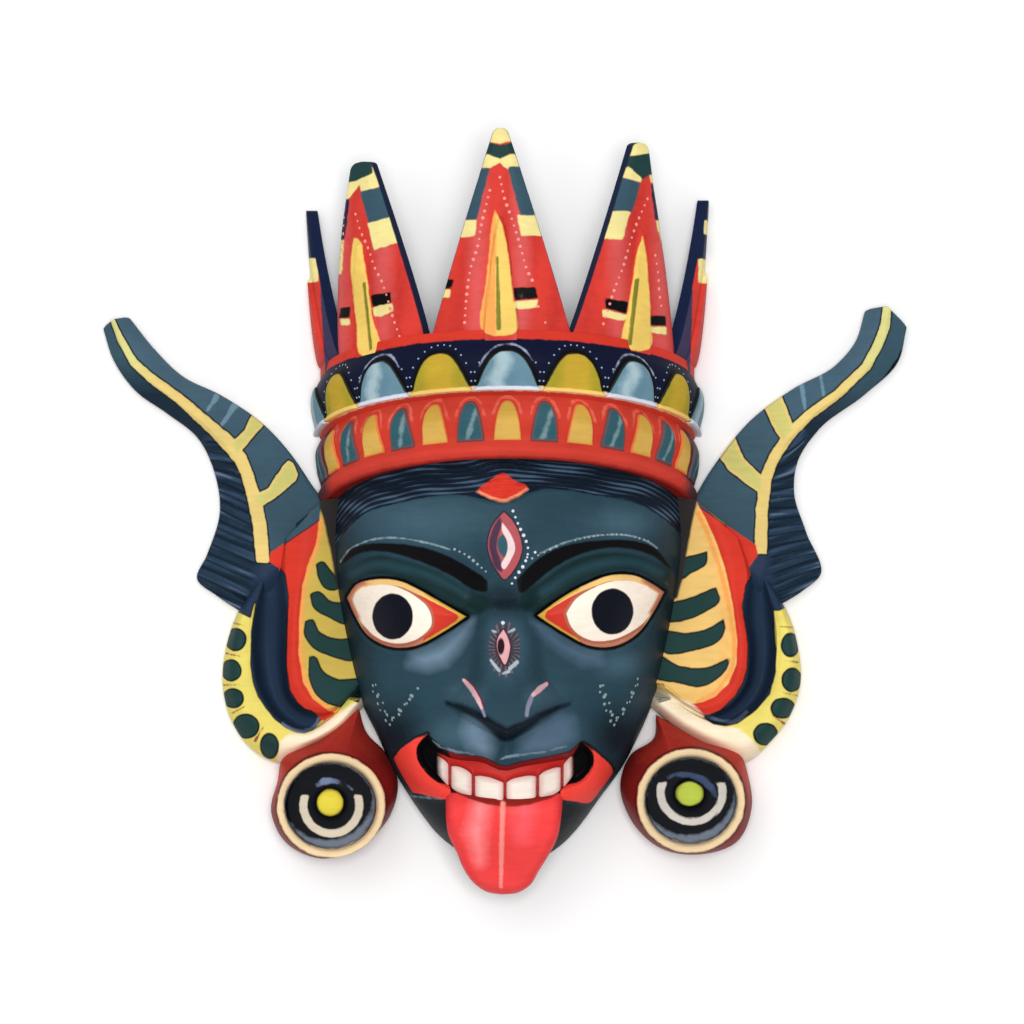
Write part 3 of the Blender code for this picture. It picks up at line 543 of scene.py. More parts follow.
# How feathers fall: where across they are straight, then by level the squares they fall for each square
FEATHER_FALL = {
    "left": (215, ((430, 0.05), (450, 0.12), (475, 0.33), (510, 0.48), (560, 0.45), (600, 0.5))),
    "right": (775, ((430, -0.8), (465, -0.4), (500, -0.05), (540, -0.2), (580, -0.4), (610, -0.4))),
}
FEATHER_GAP = 9.5
WING_SECTION = (
    (0, 0.34), (0.03, 0.42), (0.5, 0.74), (0.88, 1), (1.12, 1), (1.5, 0.86), (1.97, 0.64), (2, 0.56),
)
WING_PAINT = {
    "left": {
        "stripe": (
            (111, 320, 4), (118, 337, 6), (132, 362, 8), (150, 378, 9), (180, 400, 10), (210, 427, 12),
            (225, 441, 15), (239, 458, 13), (246, 474, 12), (252.5, 497, 13), (258.5, 525, 13.5),
            (262.5, 570, 13),
        ),
        "stripe ends": 563,
        "feathers from": 374,
        "edge": ((292, 455, 1), (308, 477, 3), (323, 498, 6)),
        "bands": (
            ((228, 444), (243, 430), (252, 411), (264, 422), (249, 440), (236, 456)),
            (
                (250, 497), (267, 488), (276, 474), (281.5, 466), (287, 460), (292, 463), (297, 474),
                (295, 480), (285, 489), (274, 498), (262, 505), (254, 504),
            ),
        ),
        "strokes": (((206, 410, 2), (215, 396, 6)), ((220, 425, 3), (234, 404, 7))),
        "red": (
            (269, 553), (319, 519), (340, 522), (340, 600), (286, 600), (283, 580), (277, 568), (268, 562),
        ),
        "root": ((254, 563), (280, 561), (300, 600), (290, 640), (240, 630), (246, 606), (250, 590)),
    },
    "right": {
        "stripe": (
            (889, 306, 8), (887, 325, 9), (880, 343, 9), (868, 366, 9), (840, 393, 9), (810, 415, 10),
            (790, 435, 11), (775, 458, 11), (767, 478, 11), (763, 510, 12), (761.5, 560, 12.5),
        ),
        "stripe ends": 554,
        "feathers from": 402,
        "edge": ((910, 324, 4), (909, 343, 5), (902, 358, 5), (888, 377, 4), (872, 391, 2)),
        "bands": (
            ((765, 406), (783, 394), (789, 410), (796, 430), (784, 441), (776, 430)),
            ((721, 457), (736, 436), (745, 458), (765, 478), (764, 495), (748, 484), (730, 470)),
        ),
        "strokes": (((803, 383, 5), (807, 412, 3)), ((822, 374, 4), (826, 398, 2))),
        "red": (
            (757, 545), (697, 505), (680, 510), (680, 600), (743, 600), (745, 585), (750, 568), (759, 555),
        ),
        "root": ((770, 553), (756, 553), (735, 600), (740, 640), (790, 630), (778, 600), (774, 575)),
    },
}
# Ears: rim, the groove's outer and inner edges, edge of the inner panel, and a line inside the face
EARS = {
    "left": (
        (
            (264, 548), (250, 590), (235, 616), (224, 650), (221, 685), (230, 722), (250, 750), (278, 764),
            (310, 748), (342, 730), (364, 706),
        ),
        (
            (278, 545), (263, 580), (254, 615), (252, 660), (260, 695), (280, 722), (305, 733), (328, 721),
            (348, 700),
        ),
        (
            (286, 538), (284, 580), (287, 620), (286, 665), (291, 697), (305, 710), (325, 713), (340, 705),
            (354, 692),
        ),
        (
            (322, 500), (312, 555), (303, 582), (299, 620), (299, 660), (305, 688), (318, 702), (336, 704),
            (356, 686),
        ),
        ((350, 496), (352, 548), (354, 600), (360, 640), (364, 660), (368, 675), (371, 683)),
    ),
    "right": (
        (
            (760, 548), (776, 590), (790, 615), (800, 650), (802, 685), (792, 716), (772, 743), (745, 764),
            (712, 749), (680, 731), (650, 707),
        ),
        (
            (748, 545), (765, 580), (775, 615), (777, 655), (770, 690), (752, 714), (726, 726), (700, 718),
            (672, 700),
        ),
        (
            (738, 538), (748, 575), (745, 610), (750, 650), (745, 686), (729, 706), (707, 715), (690, 707),
            (668, 692),
        ),
        (
            (697, 500), (712, 532), (723, 560), (732, 605), (737, 650), (732, 682), (716, 698), (695, 704),
            (664, 684),
        ),
        ((664, 494), (662, 548), (660, 600), (654, 640), (650, 660), (646, 675), (643, 683)),
    ),
}
EAR_SECTION = (
    (0, 0.42), (0.3, 0.80), (0.75, 0.86), (1, 0.80), (1.5, 0.86), (2, 0.94), (2.5, 1.03), (3, 1.0),
    (4, 0.72),
)
EAR_GROOVE_ALONG = ((0, 0), (0.08, 0.2), (0.22, 1), (0.8, 1), (0.9, 0.5), (1, 0))
EAR_RIM_ALONG = ((0, 0.4), (0.08, 0.5), (0.22, 0.95), (0.3, 1), (1, 1))
EAR_RIM_END = 2
EAR_PAINT = {
    "left": {
        "navy": (
            (256, 600), (254, 612), (251, 632), (250.5, 667), (253, 683), (258, 697), (266, 709),
            (275, 720), (286, 728), (295, 732), (304, 733), (312, 729.5), (319, 721), (311, 712),
            (303, 710), (296, 703), (288.5, 691), (285, 667), (285.5, 632), (287, 598), (284, 575),
            (276, 566), (266, 562),
        ),
        "cap": (
            (272, 556), (246, 562), (226, 600), (238, 612), (249, 617), (252.5, 604), (257, 600),
            (272, 590),
        ),
        "blade": ((269, 553), (319, 519)),
        # Painted shade on the ear beside the head's side
        "painted shade": (
            (310, 486), (356, 486), (354, 560), (346, 594), (340, 600), (334, 578), (331, 556), (327, 538),
            (323, 520), (318, 504),
        ),
        "red": (
            (268, 551), (318.5, 517), (317, 532), (315, 545), (307, 565), (301.5, 586), (298.5, 620),
            (298, 655), (302.5, 683), (312, 699), (326, 710), (336, 715), (326, 722), (319, 721),
            (312, 712), (300, 709), (288.5, 692), (284.8, 667), (286, 632), (287, 598), (284, 575),
            (276, 566), (268, 562),
        ),
        "orange": (
            (321, 520), (317, 546), (309, 566), (303.5, 587), (300.5, 620), (300, 655), (304.5, 682),
            (314, 697), (327, 708), (338, 713),
        ),
        "warm": -4,
        "lip": ((282, 724), (294, 731), (305, 732), (314, 727), (318, 719)),
        "ticks": (
            ((225, 654, 2), (240, 657, 1)), ((222, 686, 2), (238, 685, 1)), ((231, 714, 2), (244, 707, 1)),
            ((254, 742, 3), (262, 728, 1)), ((229, 623, 2), (244, 626, 1)),
        ),
        "cream": (
            (276, 766), (279, 745), (288, 735), (301, 735), (313, 732), (321, 725), (333, 717), (345, 709),
            (359, 700), (368, 692), (370, 712), (342, 736), (310, 754), (282, 770),
        ),
        "stripes": (
            ((316, 565), (321, 562), (328, 569), (334, 577), (337, 589), (328, 590), (318, 577)),
            ((310, 595), (316, 592), (330, 602), (346, 605), (346, 624), (328, 617), (313, 607)),
            (
                (305, 622), (311, 620), (318, 632), (338, 640), (352, 640), (354, 660), (330, 656),
                (310, 645), (304, 634),
            ),
            (
                (309, 657), (313, 657), (322, 672), (336, 680), (360, 681), (364, 704), (338, 707),
                (318, 697), (310, 682),
            ),
        ),
        "dots": (
            ((234.5, 640), (10.5, 11)), ((230, 671), (10, 10.5)), ((232, 699), (10.5, 9.5)),
            ((245, 727), (13, 12)), ((268.5, 747), (9, 12.5)),
        ),
    },
    "right": {
        "navy": (
            (768, 557), (756, 570), (747, 586), (743.5, 607), (746.8, 627), (749.5, 644), (748.5, 669),
            (744.5, 683), (736.5, 697), (721.5, 711.5), (706, 718), (714.5, 724), (726, 726), (738, 723.5),
            (756, 710.5), (770, 694.5), (775.6, 673.5), (776.3, 650), (774.5, 627), (774, 611), (772, 590),
            (771, 570),
        ),
        "cap": (
            (768, 554), (790, 566), (802, 590), (796, 602), (786.5, 607), (780, 610), (775, 610),
            (768, 592),
        ),
        "blade": ((697, 503.5), (757, 545)),
        # Painted shade on the ear beside the head's side
        "painted shade": (
            (664, 486), (702, 486), (697, 505), (693, 522), (690, 540), (686, 560), (683, 580), (678, 598),
            (668, 604), (660, 560),
        ),
        "red": (
            (758, 543), (697, 501.5), (709, 524), (718, 545), (726, 570), (733.5, 605), (738, 640),
            (737, 665), (729, 684), (716, 697), (702, 703), (688, 705), (704, 718), (722, 711), (736, 697),
            (745, 683), (749, 668), (750, 644), (747, 627), (743, 606), (747, 585), (756, 569), (759, 556),
        ),
        "orange": (
            (699, 514), (708, 533), (716, 555), (724, 580), (731, 615), (734.5, 640), (733.5, 664),
            (725, 683), (712, 696), (698, 702),
        ),
        "warm": -2,
        "lip": ((708, 716), (722, 722), (736, 722), (748, 713)),
        "ticks": (
            ((800, 663, 2), (786, 661, 1)), ((800, 697, 2), (784, 693, 1)), ((786, 725, 3), (772, 715, 1)),
            ((770, 748, 2), (757, 738, 2)), ((795, 628, 2), (781, 627, 1)),
        ),
        "cream": (
            (756, 770), (762, 756), (750, 738), (738, 729), (724, 727), (709, 720), (700, 711), (694, 705),
            (680, 699), (664, 692), (648, 680), (640, 696), (656, 722), (680, 738), (708, 756), (745, 776),
        ),
        "stripes": (
            ((707.5, 552), (707, 562), (690, 574), (683, 579), (680, 564)),
            ((716, 588), (720, 600), (705, 612), (675, 622), (668, 622), (670, 606), (690, 599)),
            (
                (724, 620), (725, 630), (719, 641), (700, 649), (662, 650), (660, 634), (690, 634),
                (710, 629),
            ),
            (
                (730, 659), (728, 667), (716, 680), (700, 687), (680, 683), (655, 677), (655, 655),
                (680, 667), (705, 669),
            ),
        ),
        "dots": (
            ((791.5, 645.5), (9, 11.5)), ((793, 680.5), (10, 11.5)), ((784, 709), (12, 10)),
            ((766.5, 735), (12, 11)),
        ),
    },
}
DISCS = {
    "left": (
        (331, 806), (54, 52),
        (
            (358, 710), (365, 733), (385, 755), (397, 783), (390, 816), (368, 842), (320, 860), (284, 843),
            (270, 812), (277, 780), (280, 763), (320, 741),
        ),
        {
            "black": ((329.5, 806), (45.5, 43)),
            "dot": ((330, 803), (13, 13.5)),
            "cup": ((331, 806), (28, 28)),
            "glint": ((317, 786, 3), (323, 782, 7), (331, 781, 5), (340, 783, 2.5), (352, 790, 1.5)),
            "glint paint": (112, 126, 160),
            "cup paint": (208, 196, 176), "dot paint": (216, 200, 66),
        },
    ),
    "right": (
        (691, 801), (54, 52),
        (
            (657, 716), (655, 739), (632, 756), (621, 785), (632, 822), (660, 849), (700, 856), (739, 842),
            (753, 806), (749, 776), (744, 760), (702, 742),
        ),
        {
            "black": ((691, 801), (46, 43)),
            "dot": ((690, 794), (14, 12)),
            "cup": ((692, 793), (31, 29)),
            "glint": (
                (668, 778, 3), (676, 775, 4), (690, 775, 5), (702, 780, 7), (712, 788, 6), (716, 797, 3),
            ),
            "glint paint": (60, 74, 104),
            "cup paint": (200, 194, 186), "dot paint": (180, 194, 74),
        },
    ),
}
DISC_PROFILE = (
    (0, 1, 0.40), (0, 1, 0.46), (0.35, 1, 0.72), (0.8, 1, 0.94), (1, 0.985, 1.0), (1, 0.93, 1.0),
    (1, 0.87, 0.96),
)
DISC_FLOOR = (
    (1, 0.82, 0.05), (1, 0.78, 0.0), (1, 0.32, 0.0), (1, 0.27, 0.35), (1, 0.22, 0.8), (1, 0.10, 0.95),
    (1, 0.02, 0.96),
)

# The enamels, as red, green and blue out of 255
TEAL = (41, 66, 78)
LIGHT_TEAL = (62, 88, 103)
DEEP_TEAL = (22, 34, 42)
HAIR = (20, 29, 42)
STRAND = (70, 92, 114)
BLACK = (16, 16, 18)
LID_GREEN = (24, 44, 46)
WHITE = (248, 234, 218)
PINK_WHITE = (214, 170, 165)
NAVY = (24, 34, 62)
# A dim purple: painted shade low on points 1 and 5, where the crown turns away, and the colour of the middle point's
# sides
DUSK = (62, 56, 84)
FEATHER_BLUE = (50, 70, 92)
GROOVE_NAVY = (38, 54, 76)
BAND_NAVY = (17, 22, 46)
SLATE = (56, 82, 96)
RED = (206, 56, 42)
DARK_RED = (136, 32, 26)
LIP_RED = (242, 70, 60)
TONGUE_RED = (238, 66, 66)
GUM_RED = (188, 40, 36)
CREAM = (232, 218, 146)
PALE_CREAM = (244, 230, 200)
ORANGE = (236, 160, 84)
PETAL_BLUE = (101, 135, 151)
PETAL_YELLOW = (186, 155, 50)
ARCH_TEAL = (48, 88, 98)
STRIPE_GREEN = (34, 62, 60)
LEAF_GREEN = (124, 122, 44)
LEAF_YELLOW = (234, 198, 102)
BROWN = (150, 84, 66)
MAROON = (96, 40, 44)
LIP_WHITE = (214, 216, 228)
DOT_GREY = (148, 164, 170)
DOT_PINK = (236, 150, 140)
TOOTH = (232, 220, 208)
RIM_YELLOW = (228, 212, 108)
PANEL = {"left": (200, 174, 82), "right": (232, 192, 114)}
FEATHER_NAVY = (27, 43, 57)
FEATHER_PALE = (94, 110, 132)
WOOD = (172, 128, 84)
WOOD_DARK = (112, 76, 46)
FLOOR = (250, 250, 250)
FLOOR_ROUGHNESS = 0.9
FLOOR_HALF = 4
FLOOR_LEVEL = -0.0006

# The studio: lamps by place, size and power, all in metres and watts, and the camera
LAMPS = (("key light", (-0.55, 0.75, 2.3), 1.4, 13), ("front light", (0.2, 0.15, 7.6), 2.0, 300))
SKY_STRENGTH = 0.48
AIM_HEIGHT = 0.05
LENS = 400
CLIP_END = 50

# The patches that points share
POINT_PATCHES = (
    # The first patch here is painted shade, on points 1 and 5
    ("painted shade", DUSK), ("navy", NAVY), ("cream", CREAM),
    ("green", STRIPE_GREEN), ("blue", SLATE), ("dark", NAVY),
)
# Rows of dots: the gap between them, their radius and colour, how far they wobble, and their lines
DOT_ROWS = (
    (6.5, 1.7, DOT_PINK, 0, POINT_DOTS),
    (4.5, 1.5, DOT_GREY, 0, (((455, 549), (467, 555), (478, 564), (486, 571)),)),
    (4.5, 1.4, DOT_GREY, 0, (((532, 558), (548, 550), (556, 546)),)),
    (4.2, 1.1, DOT_GREY, 0, (((575, 540), (600, 535), (625, 535), (648, 541)),)),
    (6, 1.7, LIP_WHITE, 0, (
        ((513, 511), (519, 526), (526, 541), (528, 549), (524, 564), (516, 576), (512, 583)),
    )),
    (5, 1.5, LIP_WHITE, 0, (((535, 552), (527, 557)),)),
    (1, 2.2, LIP_WHITE, 0, (((503, 622), (503, 622.5)),)),
    (3.4, 1.8, (128, 150, 154), 2.4, CHEEK_DOTS),
)
# The petals' grounds and layers
PETAL_PAINT = {
    "upper": (
        PETAL_BLUE,
        (
            # Painted shade darkens the yellow petals' sides; painted highlight lightens the blue petals' left and
            # painted shade darkens their right
            ("odd", PETAL_YELLOW, 0.1, 0), ("yellow side shade", (160, 146, 44), 10, 4),
            ("shine", (160, 184, 192), 9, 5), ("shadow", (92, 128, 148), 9, 5),
            ("lip", LIP_WHITE, 1.2, 0.8), ("odd lip", (238, 196, 110), 1.2, 0.8),
            ("edge line", (34, 36, 34), 1.2, 0.8),
        ),
    ),
    "lower": (
        ARCH_TEAL,
        (
            # Painted highlights: a lighter band across the yellow petals and a slanting light streak on the teal
            # ones
            ("even", (196, 154, 66), 0.1, 0), ("shine", (208, 168, 84), 8, 3),
            ("teal highlight", (112, 138, 142), 3, 4), ("edge line", (98, 78, 84), 1.6, 0.8),
            ("warm line", (214, 118, 66), 1.4, 0.8),
        ),
    ),
}


def place(u, v, z):
    """Points on the carver's grid, at height z in metres, as an array of x, y, z."""
    u, v, z = np.broadcast_arrays(np.asarray(u, float), np.asarray(v, float), np.asarray(z, float))
    return np.stack(((u - MIDDLE) * GRID, (LEVEL - v) * GRID, z), axis=-1)


def grid_of(mesh):
    """Where each point of a mesh lies on the grid, and its height in metres."""
    flat = np.empty(len(mesh.vertices) * 3)
    mesh.vertices.foreach_get("co", flat)
    x, y, z = flat.reshape(-1, 3).T
    return x / GRID + MIDDLE, LEVEL - y / GRID, z


def eased(table, where, column=1):
    """A smooth curve through a column of the table, read at where along its first column."""
    table = np.asarray(table, float)
    xs, ys = table[:, 0], table[:, column]
    slopes = np.gradient(ys, xs)
    where = np.clip(where, xs[0], xs[-1])
    i = np.clip(np.searchsorted(xs, where) - 1, 0, len(xs) - 2)
    step = xs[i + 1] - xs[i]
    t = (where - xs[i]) / step
    rise = ys[i + 1] - ys[i]
    near, far = slopes[i] * step, slopes[i + 1] * step
    return ys[i] + t * (near + t * (3 * rise - 2 * near - far + t * (near + far - 2 * rise)))


def trace(points, count):
    """A smooth curve through the points, as count points equally far apart along it."""
    points = np.asarray(points, float)
    along = np.concatenate(([0], np.cumsum(np.linalg.norm(np.diff(points, axis=0), axis=1))))
    share = np.linspace(0, along[-1], count)
    both = (eased(np.column_stack((along, points[:, k])), share) for k in (0, 1))
    return np.column_stack(tuple(both))


def hill(u, v, centre, reach):
    """1 at the centre, falling off smoothly over the reach."""
    return np.exp(-(((u - centre[0]) / reach[0]) ** 2) - ((v - centre[1]) / reach[1]) ** 2)


def step_up(value, width):
    """0 below -width, 1 above width, eased between."""
    t = np.clip(value / width * 0.5 + 0.5, 0, 1)
    return t * t * (3 - 2 * t)


def along_line(u, v, start, end):
    """How far along a straight line each point is, as a share of it, and how far away from it."""
    (au, av), (bu, bv) = start, end
    du, dv = bu - au, bv - av
    t = np.clip(((u - au) * du + (v - av) * dv) / (du * du + dv * dv), 0, 1)
    return t, np.hypot(u - au - t * du, v - av - t * dv)


def distance(u, v, line, closed=False):
    """How far each point is from a line of points."""
    ends = np.asarray(line, float)
    starts, ends = (ends, np.roll(ends, -1, axis=0)) if closed else (ends[:-1], ends[1:])
    least = np.full(np.shape(u), np.inf)
    for start, end in zip(starts, ends):
        least = np.minimum(least, along_line(u, v, start, end)[1])
    return least


def inside(u, v, ring):
    """Which points lie inside a closed ring of points."""
    ring = np.asarray(ring, float)
    found = np.zeros(np.shape(u), bool)
    for (au, av), (bu, bv) in zip(ring, np.roll(ring, -1, axis=0)):
        if av != bv:
            found ^= ((av > v) != (bv > v)) & (u < au + (v - av) * (bu - au) / (bv - av))
    return found


def patch(u, v, ring, smooth=0):
    """Distance to the edge of a ring, positive inside; smooth is how many points round its corners."""
    ring = trace((*ring, ring[0]), smooth)[:-1] if smooth else ring
    away = distance(u, v, ring, closed=True)
    return np.where(inside(u, v, ring), away, -away)


def nearest(shape, u, v, each, *sizes):
    """Distance to the edge of the nearest of several patches, strokes or ovals."""
    return np.max([shape(u, v, one, *sizes) for one in each], axis=0)


def stroke(u, v, line):
    """Distance to the edge of a brush stroke, given as points with the width at each."""
    most = np.full(np.shape(u), -np.inf)
    for (*start, wide), (*end, after) in zip(line[:-1], line[1:]):
        t, away = along_line(u, v, start, end)
        most = np.maximum(most, (wide + (after - wide) * t) / 2 - away)
    return most


def even_stroke(u, v, line, width, count=30):
    """Distance to the edge of a smooth brush stroke of one width."""
    return width / 2 - distance(u, v, trace(line, count))


def oval(u, v, spot):
    """Distance to the edge of an oval, given as its centre and reach, positive inside."""
    (middle, level), reach = spot
    return (1 - np.hypot((u - middle) / reach[0], (v - level) / reach[1])) * min(reach)


# Bodies


def loft(name, loops):
    """A closed body through loops of the same length, capped at both ends."""
    loops = np.asarray(loops, float)
    rows, columns = loops.shape[:2]
    index = np.arange(rows * columns).reshape(rows, columns)
    after = np.roll(index, -1, axis=1)
    quads = np.stack((index[:-1], after[:-1], after[1:], index[1:]), axis=-1).reshape(-1, 4)
    faces = [*quads.tolist(), index[0][::-1].tolist(), index[-1].tolist()]
    mesh = bpy.data.meshes.new(name)
    mesh.from_pydata(loops.reshape(-1, 3).tolist(), [], faces)
    face_outwards(mesh)
    return shown(name, mesh)


def face_outwards(mesh):
    work = bmesh.new()
    work.from_mesh(mesh)
    bmesh.ops.recalc_face_normals(work, faces=work.faces)
    work.to_mesh(mesh)
    work.free()


def shown(name, mesh):
    piece = bpy.data.objects.new(name, mesh)
    bpy.context.scene.collection.objects.link(piece)
    return piece


def keep(piece, label, values):
    """Keeps a number for each point of a piece, for its material to read."""
    numbers = piece.data.attributes.get(label) or piece.data.attributes.new(label, "FLOAT", "POINT")
    numbers.data.foreach_set("value", np.broadcast_to(values, len(piece.data.vertices)).astype(np.float32))


def cut(piece, tool, slot=1):
    """Cuts the tool out of the piece; the cut faces take the material of that slot."""
    for face in tool.data.polygons:
        face.material_index = slot
    step = piece.modifiers.new("cut", "BOOLEAN")
    step.operation = "DIFFERENCE"
    step.solver = "MANIFOLD"
    step.object = tool
    settle(piece)
    bpy.data.objects.remove(tool)


def settle(piece):
    """Applies a piece's modifiers to its mesh."""
    graph = bpy.context.evaluated_depsgraph_get()
    mesh = bpy.data.meshes.new_from_object(piece.evaluated_get(graph))
    piece.modifiers.clear()
    piece.data = mesh


# The face


def head_height(u, v):
    """The plain head's height over the back where it has no sag."""
    middle, half, share, fullness = (eased(HEAD, v, k) for k in (1, 2, 3, 5))
    across = np.clip(np.abs(u - middle) / half, 0, 1)
    return FACE_DEPTH * share * (1 - across**fullness) ** (1 / fullness)


def eye_centre(eye):
    lids = eye["upper"] + eye["lower"]
    return (eye["upper"][0][0] + eye["upper"][-1][0]) / 2, np.mean([point[1] for point in lids])


def eye_outline(eye, half=EYE_SIDES // 2 + 1):
    upper, lower = trace(eye["upper"], half), trace(eye["lower"], half)
    return np.concatenate((upper, lower[-2:0:-1]))


def brow_and_socket(u, v, brow, eye):
    """The brow's ridge and the socket under it."""
    crest = eased(trace(brow, 24), u)
    below = v - crest
    ends = BROW_SLOPES["ends"]
    within = step_up(u - brow[0][0], ends) * step_up(brow[-1][0] - u, ends)
    ridge = np.exp(-((below / np.where(below < 0, BROW_SLOPES["above"], BROW_SLOPES["below"])) ** 2))
    socket = hill(u, v, eye_centre(eye), SOCKET_REACH)
    inner = min((eye["upper"][0], eye["upper"][-1]), key=lambda corner: abs(corner[0] - NOSE_AXIS))
    corner = hill(u, v, inner, EYE_CORNER_REACH)
    return BROW_RISE * ridge * within - SOCKET_DEPTH * np.maximum(socket, corner)


def nose(u, v):
    """The nose: a flat-topped ridge that widens into the nostrils, cut under at the tip."""
    across = np.abs(u - NOSE_AXIS)
    side = np.clip((across / eased(NOSE_HALF_WIDTHS, v) - NOSE_RIDGE) / (1 - NOSE_RIDGE), 0, 1)
    foot = NOSE_TIP["level"] - NOSE_TIP["undercut"] * across
    under = step_up(foot - v, NOSE_TIP["slope"])
    return NOSE_RISE * eased(NOSE_HEIGHTS, v) * np.cos(side * np.pi / 2) ** 2 * under


def mouth(u, v):
    """The muzzle's two lobes, the lips that turn out at the corners, and the mouth between them."""
    ring = trace(MOUTH + MOUTH[:1], 60)[:-1]
    away = distance(u, v, ring, closed=True)
    opened = inside(u, v, ring)
    lobes = sum(hill(u, v, lobe, MUZZLE_REACH) for lobe in MUZZLE_LOBES)
    groove = PHILTRUM["share"] * hill(u, v, PHILTRUM["centre"], PHILTRUM["reach"])
    lip = np.exp(-(((away - LIPS["off"]) / LIPS["reach"]) ** 2)) * step_up(v - LIPS["from"], LIPS["slope"])
    outside = MUZZLE_RISE * (lobes - groove) + LIP_RISE * lip
    return np.where(opened, -MOUTH_DEPTH * step_up(away - MOUTH_SLOPE, MOUTH_SLOPE), outside)


def hair_over(u, v):
    """How far each point lies above the hair's lower edge, in squares."""
    return eased(trace(HAIR_EDGE, 60), u) - v


def strand_wave(u, v):
    """The hair's strands, fanned between its edge and the crown: 0 in the grooves, 1 on the strands."""
    edge = eased(trace(HAIR_EDGE, 60), u)
    share = (edge - v) / np.maximum(edge - eased(CROWN_RIM, u), 6)
    parted = share - 0.3 * np.exp(-(((u - 503) / 26) ** 2))
    waver = 0.16 * np.sin(u / 23) + 0.1 * np.sin(u / 9 + 2)
    return 0.5 - 0.5 * np.cos(2 * np.pi * (parted * STRANDS + waver))


def fine_carving(u, v):
    """What only shows close up: strands, rolled lids, creases beside the nose, edges of brows and lips."""
    hair = step_up(hair_over(u, v) - 1, 1.5)
    rise = -STRAND_DEPTH * hair * (1 - strand_wave(u, v))
    for eye in EYES:
        away = -patch(u, v, eye_outline(eye, 20))
        rise = rise + LID_ROLL * np.exp(-(((away - 5) / 3) ** 2)) - 0.6 * LID_ROLL * (away < 1.5)
    for ring in (*BROW_PAINT, *LIP_PAINT, DIAMOND):
        rise = rise + PATCH_RISE * step_up(patch(u, v, ring, 40), 1.6)
    for line in CREASES:
        rise = rise - CREASE_DEPTH * np.exp(-((distance(u, v, trace(line, 20)) / 2.2) ** 2))
    return rise


def relief(u, v):
    """How far the carved face stands out of the plain head."""
    rise = sum(brow_and_socket(u, v, brow, eye) for brow, eye in zip(BROWS, EYES))
    rise = rise + nose(u, v) + mouth(u, v) + fine_carving(u, v)
    rise = rise + CHEEK_RISE * sum(hill(u, v, cheek, CHEEK_REACH) for cheek in CHEEKS)
    rise = rise + HAIR_RISE * step_up(hair_over(u, v), HAIR_SLOPE)
    return rise * step_up(v - RELIEF_TOP["level"], RELIEF_TOP["slope"])


def spread_across(count, fullness, weight=0.35):
    """Shares across a section, closer together where it is steep."""
    x = np.sin(np.linspace(0, np.pi / 2, 3000))
    z = (1 - x**fullness) ** (1 / fullness)
    along = np.concatenate(([0], np.cumsum(np.hypot(np.diff(x), weight * np.diff(z)))))
    right = np.interp(np.linspace(0, along[-1], count // 2 + 1), along, x)
    return np.concatenate((-right[:0:-1], right))


def head_loops(levels, columns, inset=0.0, cut_by=0.0, carved=True):
    """Closed loops round the head at some levels, carved or, with an inset in metres, plain and smaller."""
    levels = np.asarray(levels, float)
    middle, half, share, sag, fullness = (eased(HEAD, levels, k)[:, None] for k in range(1, 6))
    across = np.array([spread_across(columns, f) for f in fullness[:, 0]])
    lift = (1 - np.abs(across) ** fullness).clip(0) ** (1 / fullness)
    u = middle + (half - inset / GRID) * across
    z = (FACE_DEPTH * share - inset - np.reshape(cut_by, (-1, 1))) * lift
    v = levels[:, None] + sag * (1 - lift)
    if carved:
        z = z + relief(u, v) * step_up(lift - RELIEF_SIDE["share"], RELIEF_SIDE["slope"])
    foot = np.full((len(levels), 1), -BELOW_FLOOR)
    u = np.hstack((u[:, :1], u, u[:, -1:]))
    v = np.hstack((v[:, :1], v, v[:, -1:]))
    return place(u, v, np.hstack((foot, np.maximum(z, 0), foot)))


def make_face():
    levels = np.concatenate((np.linspace(*FACE_LEVELS, FACE_ROWS), np.linspace(*CHIN_LEVELS, CHIN_ROWS)))
    piece = loft("face", head_loops(levels, FACE_COLUMNS))
    deepest = max(MOUTH_DEPTH, SOCKET_DEPTH)
    deeper = deepest * step_up(np.array(HOLLOW_LEVELS) - HOLLOW_DEEPENS["level"], HOLLOW_DEEPENS["slope"])
    cut(piece, loft("head hollow", head_loops(HOLLOW_LEVELS, HOLLOW_COLUMNS, WALL, deeper, carved=False)))
    turns = np.linspace(-CROWN_HOLLOW_END, CROWN_HOLLOW_END, CROWN_HOLLOW_COLUMNS)
    loops = []
    for level in CROWN_HOLLOW_LEVELS:
        rim = crown_place(turns, np.full(len(turns), level), -WALL / GRID)
        ends = rim[[0, -1]].copy()
        ends[:, 2] = -2 * BELOW_FLOOR
        loops.append(np.concatenate((ends[:1], rim, ends[1:])))
    cut(piece, loft("crown hollow", loops))
    ground = bmesh.new()
    bmesh.ops.create_cube(ground, size=1)
    bmesh.ops.scale(ground, vec=(1, 1, SLAB), verts=ground.verts)
    bmesh.ops.translate(ground, vec=(0, 0, -SLAB / 2), verts=ground.verts)
    slab = bpy.data.meshes.new("ground")
    ground.to_mesh(slab)
    ground.free()
    cut(piece, shown("ground", slab))
    return piece


